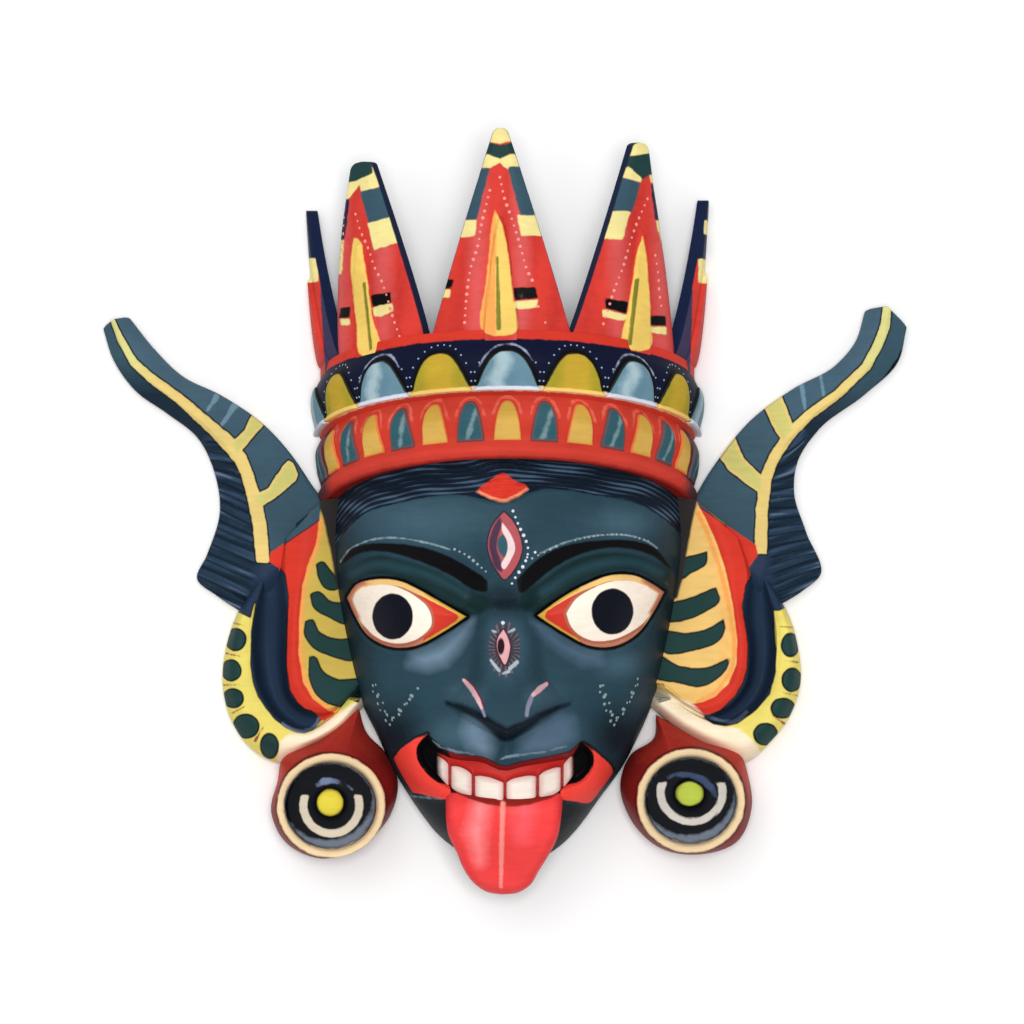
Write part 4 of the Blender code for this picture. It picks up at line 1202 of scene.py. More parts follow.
def paint_face(piece):
    u, v, z = grid_of(piece.data)
    eyes = np.max([patch(u, v, eye_outline(eye, 20)) for eye in EYES], axis=0)
    glow = np.max([hill(u, v, *spot) for spot in FACE_GLOWS], axis=0)
    shade = np.max([hill(u, v, *spot) for spot in FACE_SHADES], axis=0)
    opened = patch(u, v, trace(MOUTH + MOUTH[:1], 60)[:-1])
    lips = np.minimum(nearest(patch, u, v, LIP_PAINT, 60), (z - SIDE_PAINT_ENDS) / GRID)
    hair = hair_over(u, v)
    third = patch(u, v, THIRD_EYE, 40)
    diamond = patch(u, v, DIAMOND, 40)
    slant = GUM_WALL["slant"] * (v - GUM_WALL["level"])
    gums = np.minimum(u - GUM_WALL["left"] - slant, GUM_WALL["right"] - u - slant)
    gums = np.minimum(gums, eased(UPPER_LIP, u) + GUM_WALL["down"] - v)
    halo = oval(u, v, NOSE_HALO)
    bearing = np.arctan2(u - NOSE_HALO[0][0], v - NOSE_HALO[0][1])
    rays = np.minimum(np.sin(bearing * NOSE_RAYS) - 0.55, np.minimum(halo + 1, 6 - halo))
    eye = patch(u, v, NOSE_EYE, 30)
    streaks = strand_wave(u, v) - 0.9 + 0.3 * np.sin(u / 27 + v / 5) + 0.2 * np.sin(u / 11 - v / 3)
    layers = (
        # Painted highlights and painted shade come first, over the teal ground
        ("glow", LIGHT_TEAL, 0.9, 0.15, glow - 0.55),
        ("shade", DEEP_TEAL, 0.9, 0.15, shade - 0.5),
        ("chin", (14, 24, 30), 6, 1, v - CHIN_DARKENS),
        ("low lights", (78, 100, 120), 16, 1.5, nearest(patch, u, v, FACE_LIGHTS["low lights"])),
        ("lights", (104, 127, 146), 16, 1.5, nearest(patch, u, v, FACE_LIGHTS["lights"])),
        # Painted shade in the creases beside the nose
        ("crease shade", (14, 26, 36), 4, 1.5, nearest(stroke, u, v, CREASE_SHADES)),
        ("hair", HAIR, 1.5, 1.5, hair),
        ("strands", STRAND, 0.6, 0.1, np.where(hair > 1, streaks, -1)),
        ("lids", LID_GREEN, 4, 1, nearest(patch, u, v, LID_PAINT, 40)),
        ("lid glow", (38, 66, 76), 8, 1, nearest(even_stroke, u, v, LID_GLOW, 7)),
        ("brows", BLACK, 2, 1, nearest(patch, u, v, BROW_PAINT, 60)),
        ("eye line", BLACK, 1.4, 0.8, eyes + 2.4),
        ("nostril line", MAROON, 1.5, 1, nearest(stroke, u - 1.5, v + 1, NOSTRIL_STROKES)),
        ("nostril shade", (126, 126, 150), 1.2, 0.8, nearest(stroke, u, v, NOSTRIL_SHADES)),
        ("nostrils", (216, 172, 178), 1.2, 0.8, nearest(stroke, u, v, NOSTRIL_STROKES)),
        ("brow line", (128, 148, 156), 1.2, 1.4, nearest(even_stroke, u, v, BROW_LINES, 1.4)),
        ("third outline", HAIR, 1.5, 1, third + 1.2),
        ("third red", (172, 82, 88), 1, 0.6, third),
        ("third dark", (74, 50, 70), 2, 0.8, patch(u, v, THIRD_EYE_DARK, 30)),
        ("third white", (226, 204, 202), 1, 0.5, patch(u, v, THIRD_EYE_WHITE, 30)),
        ("third blue", ARCH_TEAL, 1, 0.5, patch(u, v, THIRD_EYE_BLUE, 30)),
        ("halo", (66, 60, 70), 4, 1.5, halo),
        ("rays", (112, 106, 116), 0.9, 0.4, rays),
        ("nose marks", (168, 182, 188), 1.2, 0.6, nearest(stroke, u, v, NOSE_MARKS)),
        ("nose eye line", (60, 34, 40), 1.5, 0.5, eye + 1.4),
        ("nose eye", (222, 166, 170), 1, 0.5, eye),
        ("nose pupil", (44, 26, 30), 1, 0.5, oval(u, v, NOSE_PUPIL)),
        ("lip line", DEEP_TEAL, 2, 1, lips + 3),
        ("mouth", BLACK, 1.5, 0.6, opened + 1.8),
        ("gum wall", (140, 32, 32), 1.5, 0.4, np.minimum(opened + 0.8, gums)),
        ("lips", LIP_RED, 1.2, 1, lips),
        # Painted highlights along the lips' edges
        ("lip highlights", (116, 136, 148), 1.4, 2, nearest(stroke, u, v, LIP_HIGHLIGHTS)),
        ("diamond edge", (238, 142, 104), 2.5, 1.5, diamond),
        ("diamond", RED, 1.5, 1, patch(u, v + 2.5, DIAMOND, 40) - 0.8),
    )
    dress(piece, "painted face", TEAL, layers)


def make_eyeball(number, eye):
    """The almond between the lids: a low dome with a crisp edge."""
    outline = eye_outline(eye)
    centre = np.array(eye_centre(eye))
    loops = []
    for share in EYE_DOME:
        u, v = (centre + (outline - centre) * share).T
        swell = (1 - share**4) ** 0.5 * 0.25 + 0.75 * (1 - share**2)
        loops.append(place(u, v, head_height(u, v) - SOCKET_DEPTH * EYE_SEAT + EYE_RISE * swell))
    foot = loops[0].copy()
    foot[:, 2] -= 0.8 * WALL
    piece = loft(f"eye_{number}", [foot, *loops])
    u, v, _ = grid_of(piece.data)
    edge = patch(u, v, outline)
    side = 1 if number == 1 else -1
    white = patch(u, v, eye["white"] + eye["white under"], 50)
    lower = np.minimum(white + 7, (eye["red from"] - u) * side)
    outer = max((eye["upper"][0], eye["upper"][-1]), key=lambda corner: abs(corner[0] - NOSE_AXIS))
    near = 26 - np.hypot(u - outer[0], v - outer[1])
    corner = np.minimum(2.8 - edge, (u - eye["red from"]) * side)
    layers = (
        ("lower line", (196, 128, 100), 1.5, 1, np.minimum(lower, v - eye_centre(eye)[1] + 4)),
        ("white edge", (176, 98, 76), 1.6, 0.6, white + 2.8),
        ("white", WHITE, 1, 0.5, white),
        ("upper line", (240, 196, 122), 1.2, 0.8, 4.2 - edge - 0.12 * (v - eye_centre(eye)[1] + 8)),
        ("outer line", (190, 118, 94), 3, 1, np.minimum(4.6 - edge, near * 0.5)),
        ("corner line", (212, 168, 66), 1.5, 1, np.maximum((u - eye["tip"]) * side, corner)),
        ("pupil", (10, 13, 26), 1.2, 0.6, oval(u, v, eye["pupil"])),
        ("lash", BLACK, 1.2, 0.4, 0.8 - edge),
    )
    dress(piece, f"painted eye {number}", RED, layers, gloss=0.1)
    return piece


def tooth_at(u):
    """Where the tooth at each place across the mouth begins, and half its width."""
    edges = np.array(TOOTH_EDGES, float)
    which = np.clip(np.searchsorted(edges, u) - 1, 0, len(edges) - 2)
    return edges[which], (edges[which + 1] - edges[which]) / 2


def make_teeth():
    """Gum and teeth across the mouth, each tooth rounded at its edges."""
    us = np.linspace(TOOTH_EDGES[0], TOOTH_EDGES[-1], TEETH_COLUMNS)
    start, half = tooth_at(us)
    across = (us - start - half) / half
    loops = []
    for u, x, w in zip(us, across, half):
        top, foot = eased(UPPER_LIP, u) - 8, eased(TEETH_LINE, u) - 3.5 * x**6
        gum = eased(GUM_LINE, u) + 4 * np.abs(x) ** 3
        wall = gum + np.array((0.4, 0.8, 1.2, 1.6))
        front = np.linspace(gum + 2.4, foot - 1, 12)
        levels = np.concatenate(([top], np.linspace(top, gum, 8), wall, front, [foot, foot]))
        off = (1 - np.abs(x)) * w
        tooth = TOOTH_RISE * (0.35 + 0.65 * step_up(off - 1.2, 1.6)) * step_up(levels - gum, 1.6)
        lip = 1 - 0.35 * step_up(levels - foot + 3, 3)
        heights = head_height(u, TEETH_LEVEL) - MOUTH_DEPTH * TEETH_SEAT + tooth * lip
        heights = heights + GUM_SWELL * step_up(gum - levels, 3)
        heights[[0, -1]] = head_height(u, TEETH_LEVEL) - TEETH_ROOT
        loops.append(place(np.full(len(levels), u), levels, heights))
    piece = loft("teeth", loops)
    u, v, _ = grid_of(piece.data)
    start, half = tooth_at(u)
    off = half - np.abs(u - start - half)
    across = np.clip(1 - off / half, 0, 1)
    tooth = np.minimum(v - eased(GUM_LINE, u) - 4 * across**3 - 1.4, off - 1.7)
    tooth = np.minimum(tooth, eased(TEETH_LINE, u) - 0.8 - v)
    layers = (
        ("tooth edge", (150, 58, 54), 1.5, 0.5, tooth + 1.2),
        ("tooth", TOOTH, 1.2, 0.6, tooth),
        ("tooth shade", PINK_WHITE, 6, 1, np.where(tooth > 0, 3 - tooth, -5)),
        # Painted shade: the outermost teeth go black in the mouth's corners
        ("ends", BLACK, 6, 1, np.maximum(TEETH_CORNER_SHADE[0] - u, u - TEETH_CORNER_SHADE[1])),
    )
    dress(piece, "painted teeth", GUM_RED, layers, gloss=0.1, crease=180)
    return piece


def make_tongue():
    """The tongue, out of the mouth and down over the chin, crowned across, with a shallow middle groove."""
    left, right = trace(TONGUE_LEFT, TONGUE_ROWS), trace(TONGUE_RIGHT, TONGUE_ROWS)
    over = (1 - np.cos(np.linspace(0, np.pi, 56))) / 2
    across = np.concatenate((over, [0.97, 0.75, 0.5, 0.25, 0.03]))
    loops = []
    for k in range(TONGUE_ROWS):
        ridge = FACE_DEPTH * eased(TONGUE_RIDGE, k / (TONGUE_ROWS - 1))
        points = left[k] + (right[k] - left[k]) * across[:, None]
        crown = 1 - np.abs(2 * across - 1) ** 2.2
        top = ridge - TONGUE_THICKNESS * (0.5 - 0.5 * crown)
        off = (points[:, 0] - TONGUE_GROOVE["axis"]) / TONGUE_GROOVE["reach"]
        groove = np.exp(-(off**2)) * step_up(0.96 - k / TONGUE_ROWS, 0.05)
        top = top - TONGUE_GROOVE["depth"] * groove
        rounded = TONGUE_THICKNESS * 0.32 * (1 - np.clip(crown * 5, 0, 1)) ** 2
        top = top - rounded
        top[len(over):] = ridge - TONGUE_THICKNESS
        loops.append(place(*points.T, top))
    piece = loft("tongue", loops)
    u, v, _ = grid_of(piece.data)
    ring = np.concatenate((trace(TONGUE_LEFT, 30), trace(TONGUE_RIGHT, 30)[::-1]))
    edge = patch(u, v, ring)
    layers = (
        # Painted shade darkens the tongue towards its edges, and a painted highlight lies on its left lobe
        ("deep", (206, 40, 44), 14, 3, 3 - edge),
        ("light", (250, 138, 140), 18, 4, stroke(u, v, TONGUE_HIGHLIGHT)),
        ("flush", (248, 96, 104), 20, 4, stroke(u, v, TONGUE_FLUSH)),
        ("root", DARK_RED, 2, 1, eased(TEETH_LINE, u) + 1.6 - v),
        ("stripe", (246, 142, 132), 1.8, 1, stroke(u, v, TONGUE_STRIPE)),
    )
    dress(piece, "painted tongue", TONGUE_RED, layers, gloss=0.12)
    return piece


# The crown


def crown_place(turn, level, out):
    """A point of the crown: degrees from its front, level at the front, and grid squares outwards."""
    angle = np.radians(turn)
    sag = eased(CROWN_SAG, level) * (1 - np.cos(angle))
    u = CROWN_MIDDLE + (CROWN_HALF_WIDTH + out) * np.sin(angle)
    z = (CROWN_DEPTH + out * GRID) * np.cos(angle)
    return place(u, level + sag, z)


def degrees_long(turns):
    """Degrees round the crown as squares along its front."""
    return np.radians(turns) * CROWN_HALF_WIDTH


def arch_line(petals, which, count=24):
    """The outline of one petal, as squares along the ring and levels."""
    across = np.cos(np.linspace(np.pi, 0, count))
    shoulder, bow = petals["arch"]
    up = (1 - np.abs(across) ** shoulder).clip(0) ** bow
    turn = which * petals["spacing"] + across * petals["half"]
    return np.column_stack((degrees_long(turn), petals["foot"] - (petals["foot"] - petals["top"]) * up))


def make_band(name):
    """A bulging band of the crown, with the tube wall behind it."""
    band = BANDS[name]
    profile = np.array(band["profile"], float)
    levels = np.linspace(profile[0, 0], profile[-1, 0], BAND_ROWS)
    turns = np.linspace(-CROWN_END, CROWN_END, BAND_COLUMNS)
    out = eased(profile, levels)
    ripple = 0.35 * np.sin(turns[:, None] / 7) * np.sin(levels[None] / 9)
    inner = np.linspace(levels[-1], levels[0], 8)
    loops, kept = [], {"turn": [], "level": [], "inner": []}
    for k, turn in enumerate(turns):
        outer = crown_place(turn, levels, out + ripple[k])
        wall = crown_place(turn, inner, np.full(len(inner), -WALL / GRID))
        loop = np.concatenate((outer, wall))
        loop[:, 2] = np.maximum(loop[:, 2], BAND_UNDERSIDE[name])
        loops.append(loop)
        kept["turn"].append(np.full(len(loop), degrees_long(turn)))
        kept["level"].append(np.concatenate((levels, inner)))
        kept["inner"].append(np.concatenate((np.full(len(levels), -10.0), np.full(len(inner), 10.0))))
    piece = loft(f"{name}_band", loops)
    return piece, {label: np.concatenate(values) for label, values in kept.items()}


def paint_band(piece, name, kept):
    along, level, inner = kept["turn"], kept["level"], kept["inner"]
    petals = BANDS[name]["petals"]
    reach = range(-(petals["count"] // 2), petals["count"] // 2 + 1)
    rings = [arch_line(petals, which) for which in reach]
    arch = np.max([patch(along, level, ring) for ring in rings], axis=0)
    sides = np.abs(along) - degrees_long(70)
    if name == "upper":
        arcs = [offset_arch(petals, which, 1.2)[15:43] for which in (-2, 0, 2)]
        lines = np.max([0.7 - distance(along, level, arc) for arc in arcs], axis=0)
        layers = (
            ("halo", BLACK, 2.4, 1.6, arch + 3),
            ("arcs", (150, 160, 182), 1.2, 1.5, lines),
            ("rim", RED, 1.5, 1.5, 340 - level),
            ("ledge", (226, 204, 172), 1.5, 1, level - 386.5),
            ("foot", (188, 54, 40), 1.6, 1.2, level - 391.5),
            ("inner", NAVY, 1, 0, inner),
        )
        dress(piece, "painted upper band", BAND_NAVY, layers)
    else:
        halo = np.minimum(1.1 - np.abs(arch + 3.6), (416 - level) * 0.3)
        layers = (
            ("warm", (196, 58, 44), 10, 4, 4 - np.abs(level - 424) / 4),
            ("halo", (216, 98, 78), 1.4, 3, halo),
            ("rim", (200, 62, 50), 3, 2, level - 443),
            # Painted shade: dark purple towards both ends of the band, where it turns away, and darker red along its
            # lowest edge
            ("sides", (92, 52, 56), 24, 6, sides),
            ("under", DARK_RED, 3, 1, level - 456.5),
            ("inner", NAVY, 1, 0, inner),
        )
        dress(piece, "painted lower band", (194, 64, 50), layers)


def offset_arch(petals, which, grow):
    """A line round a petal's arch, some times larger about the middle of its foot."""
    centre = np.array((degrees_long(which * petals["spacing"]), petals["foot"] - 12))
    return centre + (arch_line(petals, which, 60) - centre) * grow


def make_point(number, left, right, apex, tip, apex_level, flare, flare_bow, left_bow, right_bow):
    """One point of the crown: a plate with bevelled edges and a leaf raised on it."""
    rounding = 1 - POINT_ROUND * (1 - np.sin(np.linspace(0.1, 1, 9) * np.pi / 2))
    ups = np.concatenate((np.linspace(-0.25, 0.9, POINT_LEVELS), np.linspace(0.91, 0.97, 5), rounding))
    front = np.sin(np.linspace(-np.pi / 2, np.pi / 2, POINT_COLUMNS)) * 0.25
    front += 0.75 * np.linspace(-1, 1, POINT_COLUMNS)
    loops, sides = [], []
    for up in ups:
        rise_up = max(up, 0)
        level = CROWN_TOP + (apex_level - CROWN_TOP) * rise_up - POINT_ROOT * min(up, 0)
        near = left + (apex - tip - left) * rise_up**left_bow
        far = right + (apex + tip - right) * rise_up**right_bow
        blunt = max(rise_up - 1 + POINT_ROUND, 0) / POINT_ROUND
        middle, half = (near + far) / 2, (far - near) / 2 * np.sqrt(1 - 0.85 * blunt**2)
        leaf = min(LEAF_HALF_ANGLE * max(1 - rise_up / LEAF_TOP, 0) ** 0.6, half * 0.4)
        rise = LEAF_RISE * step_up(leaf - 0.3, 0.2)
        thick = POINT_THICKNESS * (1 - POINT_TAPER * rise_up)
        shoulder = half - min(half * POINT_SHOULDER["share"], POINT_SHOULDER["most"])
        edge = POINT_BEVEL * min(1, half / POINT_SHOULDER["most"])
        off = np.abs(front) * half
        out = -edge * np.clip((off - shoulder) / (half - shoulder), 0, 1) ** 1.5
        out = out + rise * step_up(leaf * 1.1 - off, 0.35) if leaf > 0.3 else out
        steps = np.linspace(0, 1, 6)[1:]
        sinks = -edge - (thick - edge) * steps
        wall, back = np.full(5, half), half * np.linspace(0.8, -0.8, 6)
        turns = np.concatenate((middle + front * half, middle + wall, middle + back, middle - wall))
        outs = np.concatenate((out, sinks, np.full(6, -thick), sinks[::-1]))
        loop = crown_place(turns, level, outs / GRID + flare * rise_up**flare_bow)
        loop[:, 2] = np.maximum(loop[:, 2], POINT_UNDERSIDE)
        loops.append(loop)
        inward = degrees_long(half - off)
        sides.append(np.concatenate((-inward, np.full(5, 3.0), np.full(6, 9.0), np.full(5, 3.0))))
    piece = loft(f"crown_point_{number}", loops)
    paint_point(piece, number, np.concatenate(sides))
    return piece


def paint_point(piece, number, side):
    u, v, _ = grid_of(piece.data)
    paint = POINT_PAINT[number]
    # Darker red streaks slant across each point
    layers = [("darker streaks", (186, 50, 44), 10, 6, 4 * np.sin(u / 5 + v / 31) - 2.5)]
    leafed = "leaf" in paint
    if leafed:
        middle = np.mean([corner[0] for corner in paint["leaf"]])
        layers.append(("flush", (208, 84, 82), 12, 5, 8 - np.abs(np.abs(u - middle) - 22)))
    for label, colour in POINT_PATCHES:
        if label in paint:
            layers.append((label, colour, 1.5, 1.5, nearest(patch, u, v, paint[label])))
    if leafed:
        leaf = patch(u, v, paint["leaf"], 50)
        layers += [
            ("leaf", LEAF_YELLOW, 1.5, 1.2, leaf),
            ("leaf half", ORANGE, 3, 1, np.minimum(leaf, middle - 3 - u) if number == 3 else -9.0),
            ("slit", LEAF_GREEN, 1.2, 0.8, patch(u, v, paint["slit"])),
            ("bars", BLACK, 1.5, 1.2, nearest(patch, u, v, paint["bars"])),
            ("pale bars", CREAM, 1.5, 1.2, nearest(patch, u, v, paint["pale bars"])),
        ]
    layers.append(("side", DUSK if number == 3 else NAVY, 1, 0.3, side + 0.5))
    dress(piece, f"painted point {number}", (206, 60, 50), layers)


# Wings, ears and discs


def make_wing(side):
    """A wing: combed feathers outside the ridge that carries its stripe, a smooth blade inside."""
    turn = np.linspace(0, np.pi / 2, 7)[:-1, None]
    lines = [trace(line, WING_STATIONS) for line in WINGS[side]]
    ahead = (lines[1][0] - lines[1][3]) / np.linalg.norm(lines[1][0] - lines[1][3])
    beyond = lines[1][0] + ahead * WING_TIP["beyond"] * np.cos(turn)
    shares = WING_TIP["share"] + (1 - WING_TIP["share"]) * np.sin(turn)
    tips = [beyond + (line[0] - lines[1][0]) * shares for line in lines]
    outer, ridge, inner = (np.vstack(both)[:, None] for both in zip(tips, lines))
    half = WING_COLUMNS // 2 + 1
    where = np.concatenate((np.linspace(0, 1, half), np.linspace(1, 2, half)[1:]))
    c = where[None, :, None]
    lines = np.where(c <= 1, outer + (ridge - outer) * c, ridge + (inner - ridge) * (c - 1))
    along = np.concatenate((np.zeros(len(turn)), np.linspace(0, 1, WING_STATIONS)))[:, None]
    heights = WING_THICKNESS * np.interp(where, *np.array(WING_SECTION, float).T)[None] * np.ones_like(along)
    comb = feather_wave(side, lines[..., 0], lines[..., 1])[0]
    heights = heights - FEATHER_DEPTH * comb * step_up(0.82 - where[None], 0.12) * step_up(along - 0.44, 0.06)
    heights = heights * (1 - WING_ROOT_SINKS * step_up(along - 0.96, 0.04))
    top = place(lines[..., 0], lines[..., 1], heights)
    feet = top[:, [0, -1]].copy()
    feet[..., 2] = WING_UNDERSIDE
    loops = np.concatenate((feet[:, :1], top, feet[:, 1:]), axis=1)
    piece = loft(f"{side}_wing", loops)
    across = np.tile(np.concatenate(([0], where, [2])), len(along))
    share = np.repeat(along[:, 0], len(where) + 2)
    paint_wing(piece, side, across, share)
    return piece


def feather_wave(side, u, v):
    """The feathers' comb, 0 on a feather and 1 in the groove, and the brush streaks along them."""
    straight, falls = FEATHER_FALL[side]
    phase = (v - eased(falls, v) * (u - straight)) * 2 * np.pi / FEATHER_GAP
    comb = (0.5 - 0.5 * np.cos(phase + 0.9 * np.sin(phase / 3.7))) ** 3
    streaks = np.sin(phase * 0.53 + u / 19) + 0.7 * np.sin(phase * 1.3 + u / 14)
    streaks = (streaks + 0.4 * np.sin(phase * 2.3 - u / 11)) * (0.7 + 0.4 * np.sin(u / 13 + v / 29))
    return comb, streaks


def paint_wing(piece, side, across, share):
    u, v, z = grid_of(piece.data)
    paint = WING_PAINT[side]
    edge = np.minimum(stroke(u, v, paint["edge"]), np.where(z > WALL_FOOT, 99, -12))
    stripe = np.minimum(stroke(u, v, paint["stripe"]), paint["stripe ends"] - v)
    bands = nearest(patch, u, v, paint["bands"])
    outer = (1 - across) * 30
    comb, streaks = feather_wave(side, u, v)
    combed = np.minimum((0.93 - across) * 9, (share - 0.44) * 40)
    fade = 0.5 - np.abs(v - 350) / 160
    layers = (
        ("blade light", (70, 96, 112), 0.9, 0.2, fade),
        ("feathers", FEATHER_NAVY, 1.5, 1, outer),
        ("feather tip", SLATE, 40, 6, np.where(across < 1, paint["feathers from"] - v, -40)),
        ("barbs", FEATHER_BLUE, 1.2, 0.4, np.minimum(streaks - 0.2, combed)),
        ("pale barbs", FEATHER_PALE, 0.8, 0.5, np.minimum(streaks - 1.1 - 0.7 * across, combed)),
        ("barb grooves", HAIR, 0.6, 0.1, np.minimum(comb - 0.7, combed)),
        ("pale strokes", (104, 136, 152), 1.5, 1.5, nearest(stroke, u, v, paint["strokes"])),
        ("root", GROOVE_NAVY, 9, 3, patch(u, v, paint["root"])),
        ("edge", (14, 18, 26), 1.4, 1, edge),
        ("dark lines", HAIR, 1.2, 1, np.maximum(stripe, bands) + 1.6),
        ("yellow", (222, 196, 120), 1.2, 1.2, np.maximum(stripe, bands)),
        ("stripe end", (208, 204, 132), 30, 3, np.where(stripe > 0, 372 - v, -30)),
        ("pale bands", (200, 194, 114), 3, 2, bands - 2),
        ("red", RED, 1.2, 0.8, patch(u, v, paint["red"])),
    )
    dress(piece, f"painted {side} wing", SLATE, layers)


def make_ear(side):
    """An ear: rounded rim, deep groove, raised band and inner panel, set against the face."""
    lines = [trace(line, EAR_STATIONS) for line in EARS[side]]
    where = np.linspace(0, 4, EAR_COLUMNS)
    near = np.minimum(where.astype(int), 3)
    part = (where - near)[None, :, None]
    stack = np.stack(lines, axis=1)
    flat = stack[:, near] + (stack[:, near + 1] - stack[:, near]) * part
    dug = np.where(np.abs(where - 1.5) < 0.5, 1 - np.abs(2 * (where - 1.5)) ** 3, 0)
    along = np.linspace(0, 1, EAR_STATIONS)[:, None]
    outside = step_up(EAR_RIM_END - 0.25 - where, 0.25)
    rim = 1 + (eased(EAR_RIM_ALONG, along) - 1) * outside
    heights = EAR_THICKNESS * eased(EAR_SECTION, where) * rim
    heights = heights - EAR_GROOVE * eased(EAR_GROOVE_ALONG, along) * dug
    heights[:, 0] -= EAR_RIM_DROP
    feet = flat[:, [0, -1]]
    u = np.hstack((feet[:, :1, 0], flat[..., 0], feet[:, 1:, 0]))
    v = np.hstack((feet[:, :1, 1], flat[..., 1], feet[:, 1:, 1]))
    foot = np.full((EAR_STATIONS, 1), EAR_UNDERSIDE)
    piece = loft(f"{side}_ear", place(u, v, np.hstack((foot, heights, foot))))
    across = np.tile(np.concatenate(([0], where, [4])), EAR_STATIONS)
    paint_ear(piece, side, across)
    return piece


def paint_ear(piece, side, across):
    u, v, z = grid_of(piece.data)
    paint = EAR_PAINT[side]
    navy = np.maximum(patch(u, v, paint["navy"]), patch(u, v, paint["cap"]))
    (au, av), (bu, bv) = paint["blade"]
    above = av + (bv - av) * (u - au) / (bu - au) - v
    blade = np.minimum(above, (3 - across) * 20)
    joint = np.minimum(1.2 - np.abs(above + 0.8), (3 - across) * 20)
    on_top = np.where(z > WALL_FOOT, 99, -12)
    stripes = nearest(patch, u, v, paint["stripes"], 40)
    dots = np.minimum(nearest(oval, u, v, paint["dots"]), on_top)
    ticks = nearest(stroke, u, v, paint["ticks"])
    layers = (
        ("warm", ORANGE, 12, 6, paint["warm"] - np.abs(across - 3.1) * 22),
        ("orange", ORANGE, 1.5, 1.5, even_stroke(u, v, paint["orange"], 4.5)),
        ("stripe edge", BLACK, 1.5, 0.8, stripes + 0.9),
        ("stripes", STRIPE_GREEN, 1.5, 1, stripes - 0.6),
        ("red", RED, 1.2, 0.8, patch(u, v, paint["red"])),
        ("rim", RIM_YELLOW, 1.5, 1, (1.3 - across) * 18),
        ("cream", PALE_CREAM, 3, 2, patch(u, v, paint["cream"], 60)),
        ("groove edge", BLACK, 1.5, 0.6, navy + 1.2),
        ("groove", GROOVE_NAVY, 1.2, 0.8, navy),
        ("blade line", (74, 44, 62), 1.2, 0.6, joint),
        ("blade", SLATE, 1.2, 0.8, blade),
        ("groove lip", (104, 116, 140), 1.5, 1.5, even_stroke(u, v, paint["lip"], 3.4)),
        ("ticks", BROWN, 1, 1, ticks),
        ("dot edge", BLACK, 1.2, 0.6, dots + 0.8),
        ("dots", STRIPE_GREEN, 1.5, 1, dots - 0.8),
        # Painted shade on the ear beside the head's side
        ("painted shade", (48, 44, 43), 2.5, 0.6, patch(u, v, paint["painted shade"])),
    )
    dress(piece, f"painted {side} ear", PANEL[side], layers)


def make_disc(side):
    """An ear disc under its lobe: a bulging drum with a raised ring, a dish and a boss."""
    centre, ring, outline, paint = DISCS[side]
    centre = np.array(centre, float)
    edge = trace(outline + outline[:1], DISC_SIDES + 1)[:-1] - centre
    bearing = edge / np.linalg.norm(edge, axis=1)[:, None]
    circle = bearing / np.linalg.norm(bearing / ring, axis=1)[:, None]
    floor = DISC_THICKNESS - DISC_DISH
    corners = [(mix, share, height * DISC_THICKNESS) for mix, share, height in DISC_PROFILE]
    corners += [(mix, share, floor + height * DISC_DISH) for mix, share, height in DISC_FLOOR]
    corners = np.array(corners)
    steps = np.arange(len(corners))
    fine = np.linspace(0, len(corners) - 1, DISC_LOOPS)
    loops = [place(*(centre + edge).T, DISC_UNDERSIDE)]
    for k in fine:
        mix, share, height = (eased(np.column_stack((steps, corners[:, j])), k) for j in range(3))
        aside = (np.array(paint["dot"][0]) - centre) * np.clip((0.6 - share) / 0.3, 0, 1)
        reach = (edge + (circle - edge) * np.clip(mix, 0, 1)) * share
        loops.append(place(*(centre + aside + reach).T, height))
    piece = loft(f"{side}_disc", loops)
    u, v, z = grid_of(piece.data)
    ring_edge = oval(u, v, (centre, ring))
    outside = np.hypot(u - centre[0], v - centre[1]) >= 0.8 * ring[0]
    ring_edge = np.where(outside, np.minimum(ring_edge, (z - 0.86 * DISC_THICKNESS) / GRID), ring_edge)
    black = oval(u, v, paint["black"])
    (cu, cv), (ru, rv) = paint["cup"]
    round_cup = 4 - np.abs(np.hypot((u - cu) / ru, (v - cv) / rv) - 1) * ru
    cup = np.minimum(round_cup, v - cv + 12 - 0.06 * np.abs(u - cu))
    sheen = 10 * np.clip((v - centre[1] + 0.3 * (u - centre[0])) / 43, 0, 1)
    crescent = np.minimum(black - 0.5, sheen - black)
    layers = (
        # Painted light on the drum: a brighter red along its top over a dark red ground, a painted reflection low in
        # the dish and a painted glint above the boss
        ("lit side", (186, 54, 44), 34, 8, even_stroke(u, v, outline[-3:] + outline[:2], 30)),
        ("ring edge", (96, 24, 22), 1.8, 1, ring_edge + 2.5),
        ("ring", (230, 204, 162), 1.5, 1.5, ring_edge),
        ("black", (12, 14, 20), 1.5, 1.5, black),
        ("sheen", (104, 114, 128), 4, 3, crescent),
        ("glint", paint["glint paint"], 2, 1.5, stroke(u, v, paint["glint"])),
        ("cup", paint["cup paint"], 1.4, 1, cup),
        ("dot", paint["dot paint"], 1.4, 1, oval(u, v, paint["dot"])),
    )
    dress(piece, f"painted {side} disc", (124, 32, 28), layers)
    return piece


# Materials


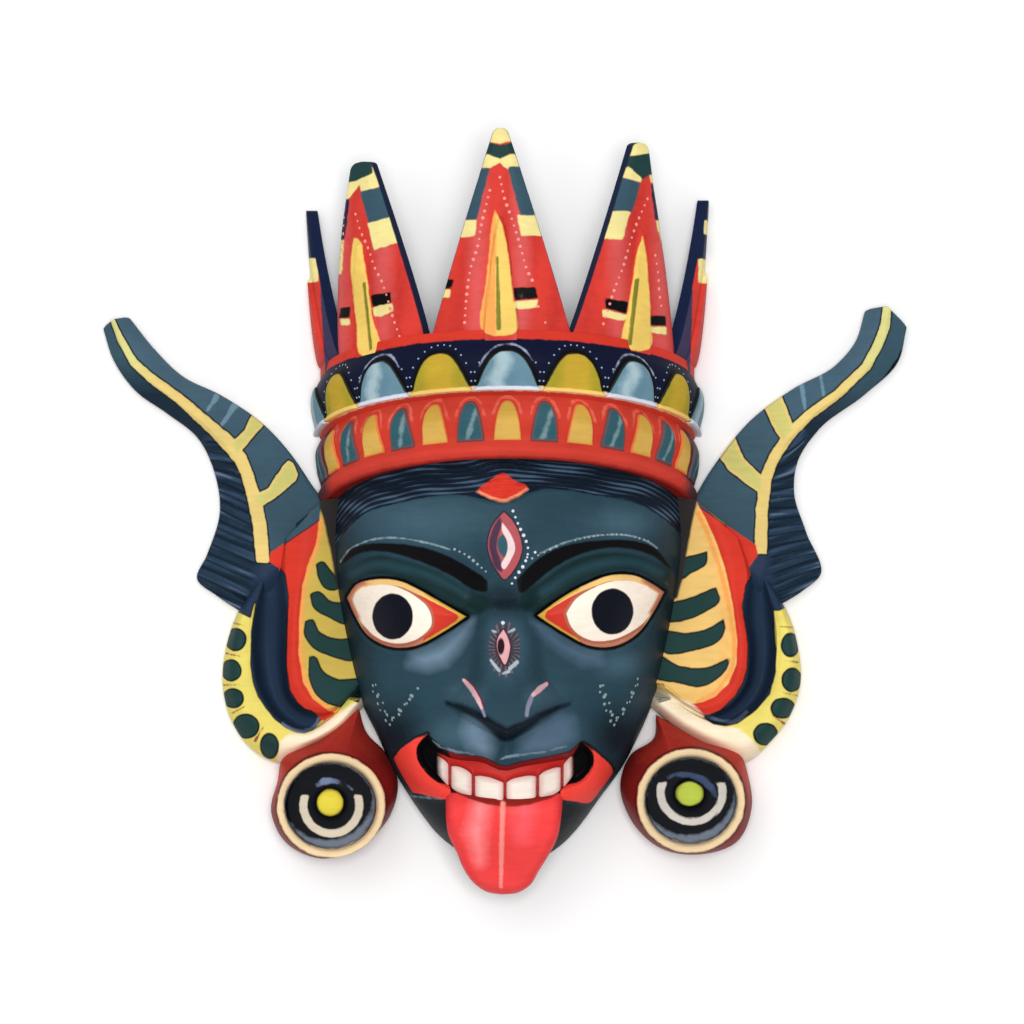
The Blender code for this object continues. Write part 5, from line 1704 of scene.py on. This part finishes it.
class Tree:
    """A node tree as it is being built: one call makes a node, sets it and joins it to others."""

    def __init__(self, tree):
        self.tree = tree

    def add(self, kind, given=(), **settings):
        node = self.tree.nodes.new(kind)
        for name, value in settings.items():
            setattr(node, name, value)
        for key, value in dict(given).items():
            self.join(value, node.inputs[key])
        return node

    def join(self, value, socket):
        if isinstance(value, bpy.types.NodeSocket):
            self.tree.links.new(value, socket)
        else:
            socket.default_value = value

    def sum(self, operation, *values, clamp=False):
        return self.add("ShaderNodeMath", enumerate(values), operation=operation, use_clamp=clamp).outputs[0]

    def plus(self, *values, clamp=False):
        return self.sum("ADD", *values, clamp=clamp)

    def minus(self, *values):
        return self.sum("SUBTRACT", *values)

    def times(self, *values, clamp=False):
        return self.sum("MULTIPLY", *values, clamp=clamp)

    def noise(self, where, scale, detail, **more):
        given = {"Vector": where, "Scale": scale, "Detail": detail, **more}
        return self.add("ShaderNodeTexNoise", given).outputs["Fac"]

    def blend(self, share, under, over):
        return self.add("ShaderNodeMix", {0: share, 6: under, 7: over}, data_type="RGBA").outputs[2]


def node_group(name, kind, inputs, outputs):
    """An empty group with its sockets: the tree, its inputs and what its outputs are joined to."""
    group = bpy.data.node_groups.new(name, kind)
    for label, socket in inputs:
        group.interface.new_socket(name=label, in_out="INPUT", socket_type=socket)
    for label, socket in outputs:
        group.interface.new_socket(name=label, in_out="OUTPUT", socket_type=socket)
    tree = Tree(group)
    return group, tree, tree.add("NodeGroupInput").outputs, tree.add("NodeGroupOutput").inputs


def brush_edge():
    """Turns the distance to a patch's edge into how much of its paint covers, with a hand-drawn edge."""
    number = "NodeSocketFloat"
    inputs = (("Distance", number), ("Softness", number), ("Wander", number))
    group, tree, given, out = node_group("brush edge", "ShaderNodeTree", inputs, (("Cover", number),))
    where = tree.add("ShaderNodeTexCoord").outputs["Object"]
    ragged = tree.noise(where, 210, 3)
    drift = tree.times(tree.minus(ragged, 0.5), given["Wander"])
    moved = tree.plus(given["Distance"], tree.times(drift, 2.0))
    cover = tree.plus(tree.sum("DIVIDE", moved, given["Softness"]), 0.5, clamp=True)
    tree.join(cover, out["Cover"])
    return group


def hand_finish():
    """Brushed enamel: uneven colour, streaks of the brush, worn specks, and the height of its coats."""
    number, colour = "NodeSocketFloat", "NodeSocketColor"
    inputs = (("Colour", colour), ("Coats", number))
    outputs = (("Colour", colour), ("Roughness", number), ("Height", number))
    group, tree, given, out = node_group("hand finish", "ShaderNodeTree", inputs, outputs)
    where = tree.add("ShaderNodeTexCoord").outputs["Object"]
    bend = tree.add("ShaderNodeTexNoise", {"Vector": where, "Scale": 26, "Detail": 2}).outputs["Color"]
    bent = tree.add("ShaderNodeMix", {0: 0.012, 4: where, 5: bend}, data_type="VECTOR").outputs[1]
    long = tree.add("ShaderNodeMapping", {"Vector": bent, "Scale": (55, 420, 160)}).outputs[0]
    streaks = tree.noise(long, 1, 4)
    clouds = tree.noise(where, 34, 3)
    grit = tree.noise(where, 900, 2)
    uneven = tree.plus(tree.times(streaks, 0.22), tree.times(clouds, 0.42))
    value = tree.plus(uneven, 0.70)
    varied = tree.add("ShaderNodeHueSaturation", {"Value": value, "Color": given["Colour"]}).outputs[0]
    specks = tree.noise(where, 150, 5)
    worn = tree.times(tree.minus(specks, 0.71), 14.0, clamp=True)
    worn = tree.times(worn, 0.22)
    tree.join(tree.blend(worn, varied, ink((120, 104, 92))), out["Colour"])
    dull = tree.plus(tree.times(clouds, 0.2), 0.34)
    tree.join(tree.plus(dull, tree.times(worn, 0.5)), out["Roughness"])
    ridges = tree.plus(tree.times(streaks, 0.5), tree.times(grit, 0.08))
    tree.join(tree.plus(ridges, tree.times(given["Coats"], 0.3)), out["Height"])
    return group


def ink(colour):
    """A paint given as red, green and blue out of 255, as the linear colour that shaders take."""
    share = np.array(colour) / 255
    linear = np.where(share <= 0.04045, share / 12.92, ((share + 0.055) / 1.055) ** 2.4)
    return (*linear.tolist(), 1)


def new_material(name):
    """A material, its tree and its shader."""
    material = bpy.data.materials.new(name)
    material.use_nodes = True
    return material, Tree(material.node_tree), material.node_tree.nodes["Principled BSDF"]


def enamel(name, ground, layers, gloss):
    """Brushed enamel: a ground colour and layers over it, each where its number on the mesh passes 0."""
    material, tree, shader = new_material(name)
    colour, coats = ink(ground), 0.0
    for label, paint, soft, wander in layers:
        number = tree.add("ShaderNodeAttribute", attribute_name=label).outputs["Fac"]
        cover = tree.add("ShaderNodeGroup", node_tree=GROUPS["brush edge"])
        for key, value in (("Distance", number), ("Softness", soft), ("Wander", wander)):
            tree.join(value, cover.inputs[key])
        colour = tree.blend(cover.outputs[0], colour, ink(paint))
        coats = tree.plus(cover.outputs[0], coats)
    finish = tree.add("ShaderNodeGroup", node_tree=GROUPS["hand finish"])
    tree.join(colour, finish.inputs["Colour"])
    tree.join(coats, finish.inputs["Coats"])
    tree.join(finish.outputs["Colour"], shader.inputs["Base Color"])
    tree.join(finish.outputs["Roughness"], shader.inputs["Roughness"])
    bump = {"Height": finish.outputs["Height"], "Distance": 0.0004, "Strength": 0.55}
    tree.join(tree.add("ShaderNodeBump", bump).outputs[0], shader.inputs["Normal"])
    shader.inputs["Specular IOR Level"].default_value = gloss
    return material


def bare_wood():
    """The back and the hollow: pale wood with grain along the mask, and shallow chisel marks."""
    material, tree, shader = new_material("bare wood")
    where = tree.add("ShaderNodeTexCoord").outputs["Object"]
    long = tree.add("ShaderNodeMapping", {"Vector": where, "Scale": (90, 9, 90)}).outputs[0]
    grain = tree.noise(long, 1, 6, Distortion=0.8)
    wave = {"Vector": long, "Scale": 0.35, "Distortion": 5, "Detail": 3}
    rings = tree.add("ShaderNodeTexWave", wave).outputs["Fac"]
    mixed = tree.plus(tree.times(grain, 0.6), tree.times(rings, 0.4))
    colour = tree.blend(mixed, ink(WOOD_DARK), ink(WOOD))
    tree.join(colour, shader.inputs["Base Color"])
    chips = tree.add("ShaderNodeMapping", {"Vector": where, "Scale": (110, 55, 110)}).outputs[0]
    marks = tree.add("ShaderNodeTexVoronoi", {"Vector": chips, "Scale": 1}, feature="SMOOTH_F1")
    marks = marks.outputs["Distance"]
    height = tree.plus(marks, tree.times(grain, 0.15))
    bump = tree.add("ShaderNodeBump", {"Height": height, "Distance": 0.0016, "Strength": 0.5})
    tree.join(bump.outputs[0], shader.inputs["Normal"])
    tree.join(tree.plus(tree.times(grain, 0.25), 0.55), shader.inputs["Roughness"])
    return material


def dress(piece, name, ground, layers, gloss=SHINE, crease=38):
    """Keeps each layer's numbers on the piece and gives it their enamel, with bare wood on its flat back."""
    for label, _, _, _, values in layers:
        keep(piece, label, values)
    faces = piece.data.polygons
    slots = np.empty(len(faces), np.int32)
    faces.foreach_get("material_index", slots)
    normals, centres = np.empty((2, len(faces) * 3))
    faces.foreach_get("normal", normals)
    faces.foreach_get("center", centres)
    slots[(normals[2::3] < -0.9) & (centres[2::3] < UNDERSIDES_END)] = 1
    materials = piece.data.materials
    materials.clear()
    materials.append(enamel(name, ground, [layer[:4] for layer in layers], gloss))
    materials.append(BARE_WOOD)
    faces.foreach_set("material_index", slots)
    piece.data.shade_smooth()
    piece.data.set_sharp_from_angle(angle=np.radians(crease))


# Petals and dots of paint, by geometry nodes


def petal_blank(name, petals, lip):
    """One petal on the flat: x in degrees, y as levels from its foot, z as metres of rise, sunk below 0."""
    line = arch_line(petals, 0, 33)
    turns = np.degrees(line[:, 0] / CROWN_HALF_WIDTH)
    levels = line[:, 1] - petals["foot"]
    foot = np.linspace(turns[-1], turns[0], 13)[1:-1]
    outline = np.column_stack((np.concatenate((turns, foot)), np.concatenate((levels, np.zeros(len(foot))))))
    middle = np.array((0, -0.42 * (petals["foot"] - petals["top"])))
    loops = []
    for share, rise in PETAL_DOME:
        ring = middle + (outline - middle) * share
        height = np.full(len(ring), rise * PETAL_RISE * 0.55)
        if rise > 0:
            height = height + lip * step_up(ring[:, 1] + 3.2, 1.6)
        loops.append(np.column_stack((ring, height)))
    piece = loft(name, loops)
    flat = np.concatenate(loops)
    squares = np.column_stack((degrees_long(flat[:, 0]), flat[:, 1]))
    ring = np.column_stack((degrees_long(outline[:, 0]), outline[:, 1]))
    edge = distance(*squares.T, ring, closed=True)
    keep(piece, "edge", edge)
    keep(piece, "up", -flat[:, 1])
    keep(piece, "across", squares[:, 0])
    return piece


def petal_row():
    """A row of petals round the crown: copies of a blank, bent onto the band's outside."""
    number = "NodeSocketFloat"
    inputs = [("Petal", "NodeSocketGeometry"), ("Band", "NodeSocketObject"), ("Count", "NodeSocketInt")]
    labels = ("Spacing", "End", "Foot", "Radius", "Depth", "Middle", "Sag", "Sag grows")
    inputs += [(label, number) for label in labels]
    inputs += [("Enamel", "NodeSocketMaterial")]
    outputs = [("Petals", "NodeSocketGeometry")]
    group, tree, given, out = node_group("petal row", "GeometryNodeTree", inputs, outputs)
    first = tree.times(tree.minus(given["Count"], 1.0), tree.times(given["Spacing"], -0.5))
    start = tree.add("ShaderNodeCombineXYZ", {0: first, 1: given["Foot"]}).outputs[0]
    step = tree.add("ShaderNodeCombineXYZ", {0: given["Spacing"]}).outputs[0]
    line = tree.add("GeometryNodeMeshLine", {"Count": given["Count"], "Start Location": start, "Offset": step})
    copies = {"Points": line.outputs[0], "Instance": given["Petal"]}
    copies = tree.add("GeometryNodeInstanceOnPoints", copies).outputs[0]
    index = tree.add("GeometryNodeInputIndex").outputs[0]
    odd = tree.sum("MODULO", tree.plus(index, tree.sum("DIVIDE", tree.minus(given["Count"], 1.0), 2.0)), 2.0)
    marked = {"Geometry": copies, "Name": "odd", "Value": odd}
    marked = tree.add("GeometryNodeStoreNamedAttribute", marked, domain="INSTANCE")
    real = tree.add("GeometryNodeRealizeInstances", {0: marked.outputs[0]}).outputs[0]
    flat = tree.add("ShaderNodeSeparateXYZ", {0: tree.add("GeometryNodeInputPosition").outputs[0]}).outputs
    held = tree.sum("MAXIMUM", tree.sum("MINIMUM", flat[0], given["End"]), tree.times(given["End"], -1.0))
    angle = tree.sum("RADIANS", held)
    sine, cosine = tree.sum("SINE", angle), tree.sum("COSINE", angle)
    sag = tree.sum("MULTIPLY_ADD", flat[1], given["Sag grows"], given["Sag"])
    sunk = tree.sum("MULTIPLY_ADD", tree.minus(1.0, cosine), sag, flat[1])
    y = tree.times(tree.minus(LEVEL, sunk), GRID)
    x = tree.sum("MULTIPLY_ADD", given["Radius"], sine, given["Middle"])
    z = tree.times(given["Depth"], cosine)
    outside = tree.add("ShaderNodeCombineXYZ", {0: x, 1: y, 2: z}).outputs[0]
    outward = tree.add("ShaderNodeCombineXYZ", {0: sine, 2: cosine}).outputs[0]
    inward = tree.add("ShaderNodeVectorMath", {0: outward, "Scale": -1.0}, operation="SCALE").outputs[0]
    band = tree.add("GeometryNodeObjectInfo", {"Object": given["Band"]}).outputs["Geometry"]
    ray = {"Target Geometry": band, "Source Position": outside, "Ray Direction": inward, "Ray Length": 0.06}
    ray = tree.add("GeometryNodeRaycast", ray)
    lifted = tree.add("ShaderNodeVectorMath", {0: outward, "Scale": flat[2]}, operation="SCALE").outputs[0]
    there = tree.add("ShaderNodeVectorMath", {0: ray.outputs["Hit Position"], 1: lifted}, operation="ADD").outputs[0]
    moved = {"Geometry": real, "Position": there, "Selection": ray.outputs["Is Hit"]}
    moved = tree.add("GeometryNodeSetPosition", moved).outputs[0]
    done = tree.add("GeometryNodeSetMaterial", {"Geometry": moved, "Material": given["Enamel"]}).outputs[0]
    tree.join(done, out["Petals"])
    return group


def paint_dots():
    """Raised dots of paint: a low dome on each point, as wide as its size and square to its surface."""
    inputs = [("Places", "NodeSocketGeometry"), ("Height", "NodeSocketFloat")]
    inputs += [("Sides", "NodeSocketInt"), ("Enamel", "NodeSocketMaterial")]
    outputs = [("Dots", "NodeSocketGeometry")]
    group, tree, given, out = node_group("paint dots", "GeometryNodeTree", inputs, outputs)
    dome = tree.add("GeometryNodeMeshUVSphere", {"Segments": given["Sides"], "Rings": 5}).outputs[0]
    size = tree.add("GeometryNodeInputNamedAttribute", {"Name": "size"}, data_type="FLOAT").outputs[0]
    normal = tree.add("GeometryNodeInputNamedAttribute", {"Name": "facing"}, data_type="FLOAT_VECTOR").outputs[0]
    turned = tree.add("FunctionNodeAlignRotationToVector", {"Vector": normal}, axis="Z").outputs[0]
    scale = tree.add("ShaderNodeCombineXYZ", {0: size, 1: size, 2: tree.times(size, given["Height"])}).outputs[0]
    copies = {"Points": given["Places"], "Instance": dome, "Rotation": turned, "Scale": scale}
    copies = tree.add("GeometryNodeInstanceOnPoints", copies).outputs[0]
    real = tree.add("GeometryNodeRealizeInstances", {0: copies}).outputs[0]
    done = tree.add("GeometryNodeSetMaterial", {"Geometry": real, "Material": given["Enamel"]}).outputs[0]
    tree.join(done, out["Dots"])
    return group


def grown(piece, group, **inputs):
    """Runs a geometry tree on a piece and keeps the mesh that it makes."""
    step = piece.modifiers.new("grow", "NODES")
    step.node_group = group
    sockets = {item.name: item.identifier for item in group.interface.items_tree if item.in_out == "INPUT"}
    for label, value in inputs.items():
        step[sockets[label.replace("_", " ")]] = value
    settle(piece)
    face_outwards(piece.data)
    piece.data.shade_smooth()
    return piece


def make_petals(name, band):
    petals = BANDS[name]["petals"]
    blank = petal_blank(f"{name}_petals", petals, BANDS[name]["lip"])
    first, last = CROWN_SAG[0], CROWN_SAG[-1]
    grows = (last[1] - first[1]) / (last[0] - first[0])
    enamelled = enamel(f"painted {name} petals", *PETAL_PAINT[name], SHINE)
    piece = grown(
        blank, GROUPS["petal row"], Band=band, Count=petals["count"], Spacing=petals["spacing"],
        Foot=float(petals["foot"]), End=CROWN_END - 0.6, Radius=(CROWN_HALF_WIDTH + PETALS_FROM) * GRID,
        Depth=CROWN_DEPTH + PETALS_FROM * GRID, Middle=(CROWN_MIDDLE - MIDDLE) * GRID,
        Sag=first[1] - grows * first[0], Sag_grows=grows, Enamel=enamelled,
    )
    odd, up, edge, across = (read(piece, label) for label in ("odd", "up", "edge", "across"))
    even = 0.5 - odd
    lip = 4 - up
    rind = 2.2 - edge
    if name == "upper":
        keep(piece, "odd", odd - 0.5)
        # Painted shade on the yellow petals' sides
        keep(piece, "yellow side shade", np.where(odd > 0.5, np.abs(across) - 14, -9))
        keep(piece, "shine", np.where(odd > 0.5, -9, 7 - np.abs(across + 7 + 4 * np.sin(up / 6))))
        keep(piece, "shadow", np.where(odd > 0.5, -9, 5 - np.abs(across - 8 + 3 * np.sin(up / 5)) - 0.2 * up))
        keep(piece, "lip", np.where(odd > 0.5, -9, lip))
        keep(piece, "odd lip", np.where(odd > 0.5, lip, -9))
        keep(piece, "edge line", np.where(up < 3.6, -2, rind - 0.6))
    else:
        keep(piece, "even", even)
        keep(piece, "shine", np.where(odd > 0.5, -9, 10 - np.abs(up - 12)))
        # A slanting painted highlight on the teal petals
        keep(piece, "teal highlight", np.where(odd > 0.5, 2 - np.abs(across + 3 - 0.3 * up), -9))
        keep(piece, "edge line", np.where(odd > 0.5, rind, -9))
        keep(piece, "warm line", np.where(odd > 0.5, -9, rind - 0.9))
    return piece


def read(piece, label):
    values = np.empty(len(piece.data.vertices), np.float32)
    piece.data.attributes[label].data.foreach_get("value", values)
    return values





class Ground:
    """The surface that dots are set on: rays find where it is and which way it faces."""

    def __init__(self, pieces):
        points, faces = [], []
        for piece in pieces:
            start = len(points)
            points += [vert.co.copy() for vert in piece.data.vertices]
            faces += [[start + k for k in face.vertices] for face in piece.data.polygons]
        self.tree = BVHTree.FromPolygons(points, faces)

    def from_above(self, u, v):
        x, y, _ = place(u, v, 0)
        return self.tree.ray_cast(Vector((x, y, 1)), Vector((0, 0, -1)))[:2]

    def from_outside(self, turn, level):
        start, end = (Vector(crown_place(turn, level, out)) for out in (60, 0))
        return self.tree.ray_cast(start, (end - start).normalized())[:2]


def dot_places(ground):
    """Every raised dot of paint: where it sits, which way it faces, its radius in squares and its colour."""
    places = []

    def add(found, radius, colour):
        if found[0] is not None:
            places.append((found[0], found[1], radius, colour))

    def row(line, gap, radius, colour, wobble):
        line = np.asarray(line, float)
        long = np.linalg.norm(np.diff(line, axis=0), axis=1).sum()
        for k, (u, v) in enumerate(trace(line, max(int(long / gap), 2))):
            size = radius * (1 + 0.22 * np.sin(k * 5.1))
            add(ground.from_above(u + wobble * np.sin(k * 2.4), v + wobble * np.cos(k * 3.7)), size, colour)

    for gap, radius, colour, wobble, lines in DOT_ROWS:
        for line in lines:
            row(line, gap, radius, colour, wobble)
    petals = BANDS["upper"]["petals"]
    for which in range(-3, 4):
        line = offset_arch(petals, which, 1.26)
        line = line[(line[:, 1] < petals["foot"] - 9) & (line[:, 1] > 343.5)]
        if which % 2 == 0:
            line = line[line[:, 1] > 360]
        for along, level in line[::3]:
            add(ground.from_outside(np.degrees(along / CROWN_HALF_WIDTH), level), 1.1, DOT_GREY)
    return places


def make_dots(ground):
    places = dot_places(ground)
    mesh = bpy.data.meshes.new("paint_dots")
    mesh.from_pydata([spot[0] for spot in places], [], [])
    piece = shown("paint_dots", mesh)
    keep(piece, "size", [spot[2] * GRID for spot in places])
    facing = mesh.attributes.new("facing", "FLOAT_VECTOR", "POINT")
    facing.data.foreach_set("vector", np.array([spot[1] for spot in places], np.float32).ravel())
    tint = mesh.attributes.new("tint", "FLOAT_COLOR", "POINT")
    tint.data.foreach_set("color", np.array([ink(spot[3]) for spot in places], np.float32).ravel())
    material = enamel("dotted paint", DOT_GREY, (), SHINE)
    tree = Tree(material.node_tree)
    hue = tree.add("ShaderNodeAttribute", attribute_name="tint").outputs["Color"]
    finish = next(node for node in material.node_tree.nodes if node.type == "GROUP")
    tree.join(hue, finish.inputs["Colour"])
    return grown(piece, GROUPS["paint dots"], Height=PAINT_DOT_HEIGHT, Sides=8, Enamel=material)


# The studio


def studio():
    scene = bpy.context.scene
    scene.view_settings.view_transform = "Standard"
    floor_mesh = bpy.data.meshes.new("floor")
    corners = [(x * FLOOR_HALF, y * FLOOR_HALF, FLOOR_LEVEL) for x, y in ((-1, -1), (1, -1), (1, 1), (-1, 1))]
    floor_mesh.from_pydata(corners, [], [(0, 1, 2, 3)])
    floor = shown("floor", floor_mesh)
    material, tree, shader = new_material("pale floor")
    tree.join(ink(FLOOR), shader.inputs["Base Color"])
    tree.join(FLOOR_ROUGHNESS, shader.inputs["Roughness"])
    floor.data.materials.append(material)
    world = bpy.data.worlds.new("studio")
    world.use_nodes = True
    world.node_tree.nodes["Background"].inputs[0].default_value = (1, 1, 1, 1)
    world.node_tree.nodes["Background"].inputs[1].default_value = SKY_STRENGTH
    scene.world = world
    for name, spot, size, power in LAMPS:
        lamp = bpy.data.objects.new(name, bpy.data.lights.new(name, "AREA"))
        lamp.data.energy = power
        lamp.data.size = size
        lamp.location = spot
        lamp.rotation_euler = (Vector(spot) - Vector((0, 0, AIM_HEIGHT))).to_track_quat("Z", "Y").to_euler()
        scene.collection.objects.link(lamp)
    camera = bpy.data.objects.new("camera", bpy.data.cameras.new("camera"))
    camera.data.lens = LENS
    middle = place(SQUARES / 2, SQUARES / 2, AIM_HEIGHT)
    distance_up = SQUARES * GRID * camera.data.lens / camera.data.sensor_width
    camera.location = (middle[0], middle[1], middle[2] + distance_up)
    camera.data.clip_end = CLIP_END
    scene.collection.objects.link(camera)
    scene.camera = camera


GROUPS = {}
GROUPS["brush edge"] = brush_edge()
GROUPS["hand finish"] = hand_finish()
GROUPS["petal row"] = petal_row()
GROUPS["paint dots"] = paint_dots()
BARE_WOOD = bare_wood()

face = make_face()
paint_face(face)
pieces = [face, make_teeth(), make_tongue()]
pieces += [make_eyeball(number, eye) for number, eye in enumerate(EYES, 1)]
for name in BANDS:
    band, kept = make_band(name)
    paint_band(band, name, kept)
    pieces += [band, make_petals(name, band)]
pieces += [make_point(number, *sizes) for number, sizes in enumerate(POINTS, 1)]
pieces += [make(side) for side in ("left", "right") for make in (make_wing, make_ear, make_disc)]
pieces.append(make_dots(Ground(pieces)))
for piece in pieces:
    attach(piece, "root")
    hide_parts("mask")

studio()
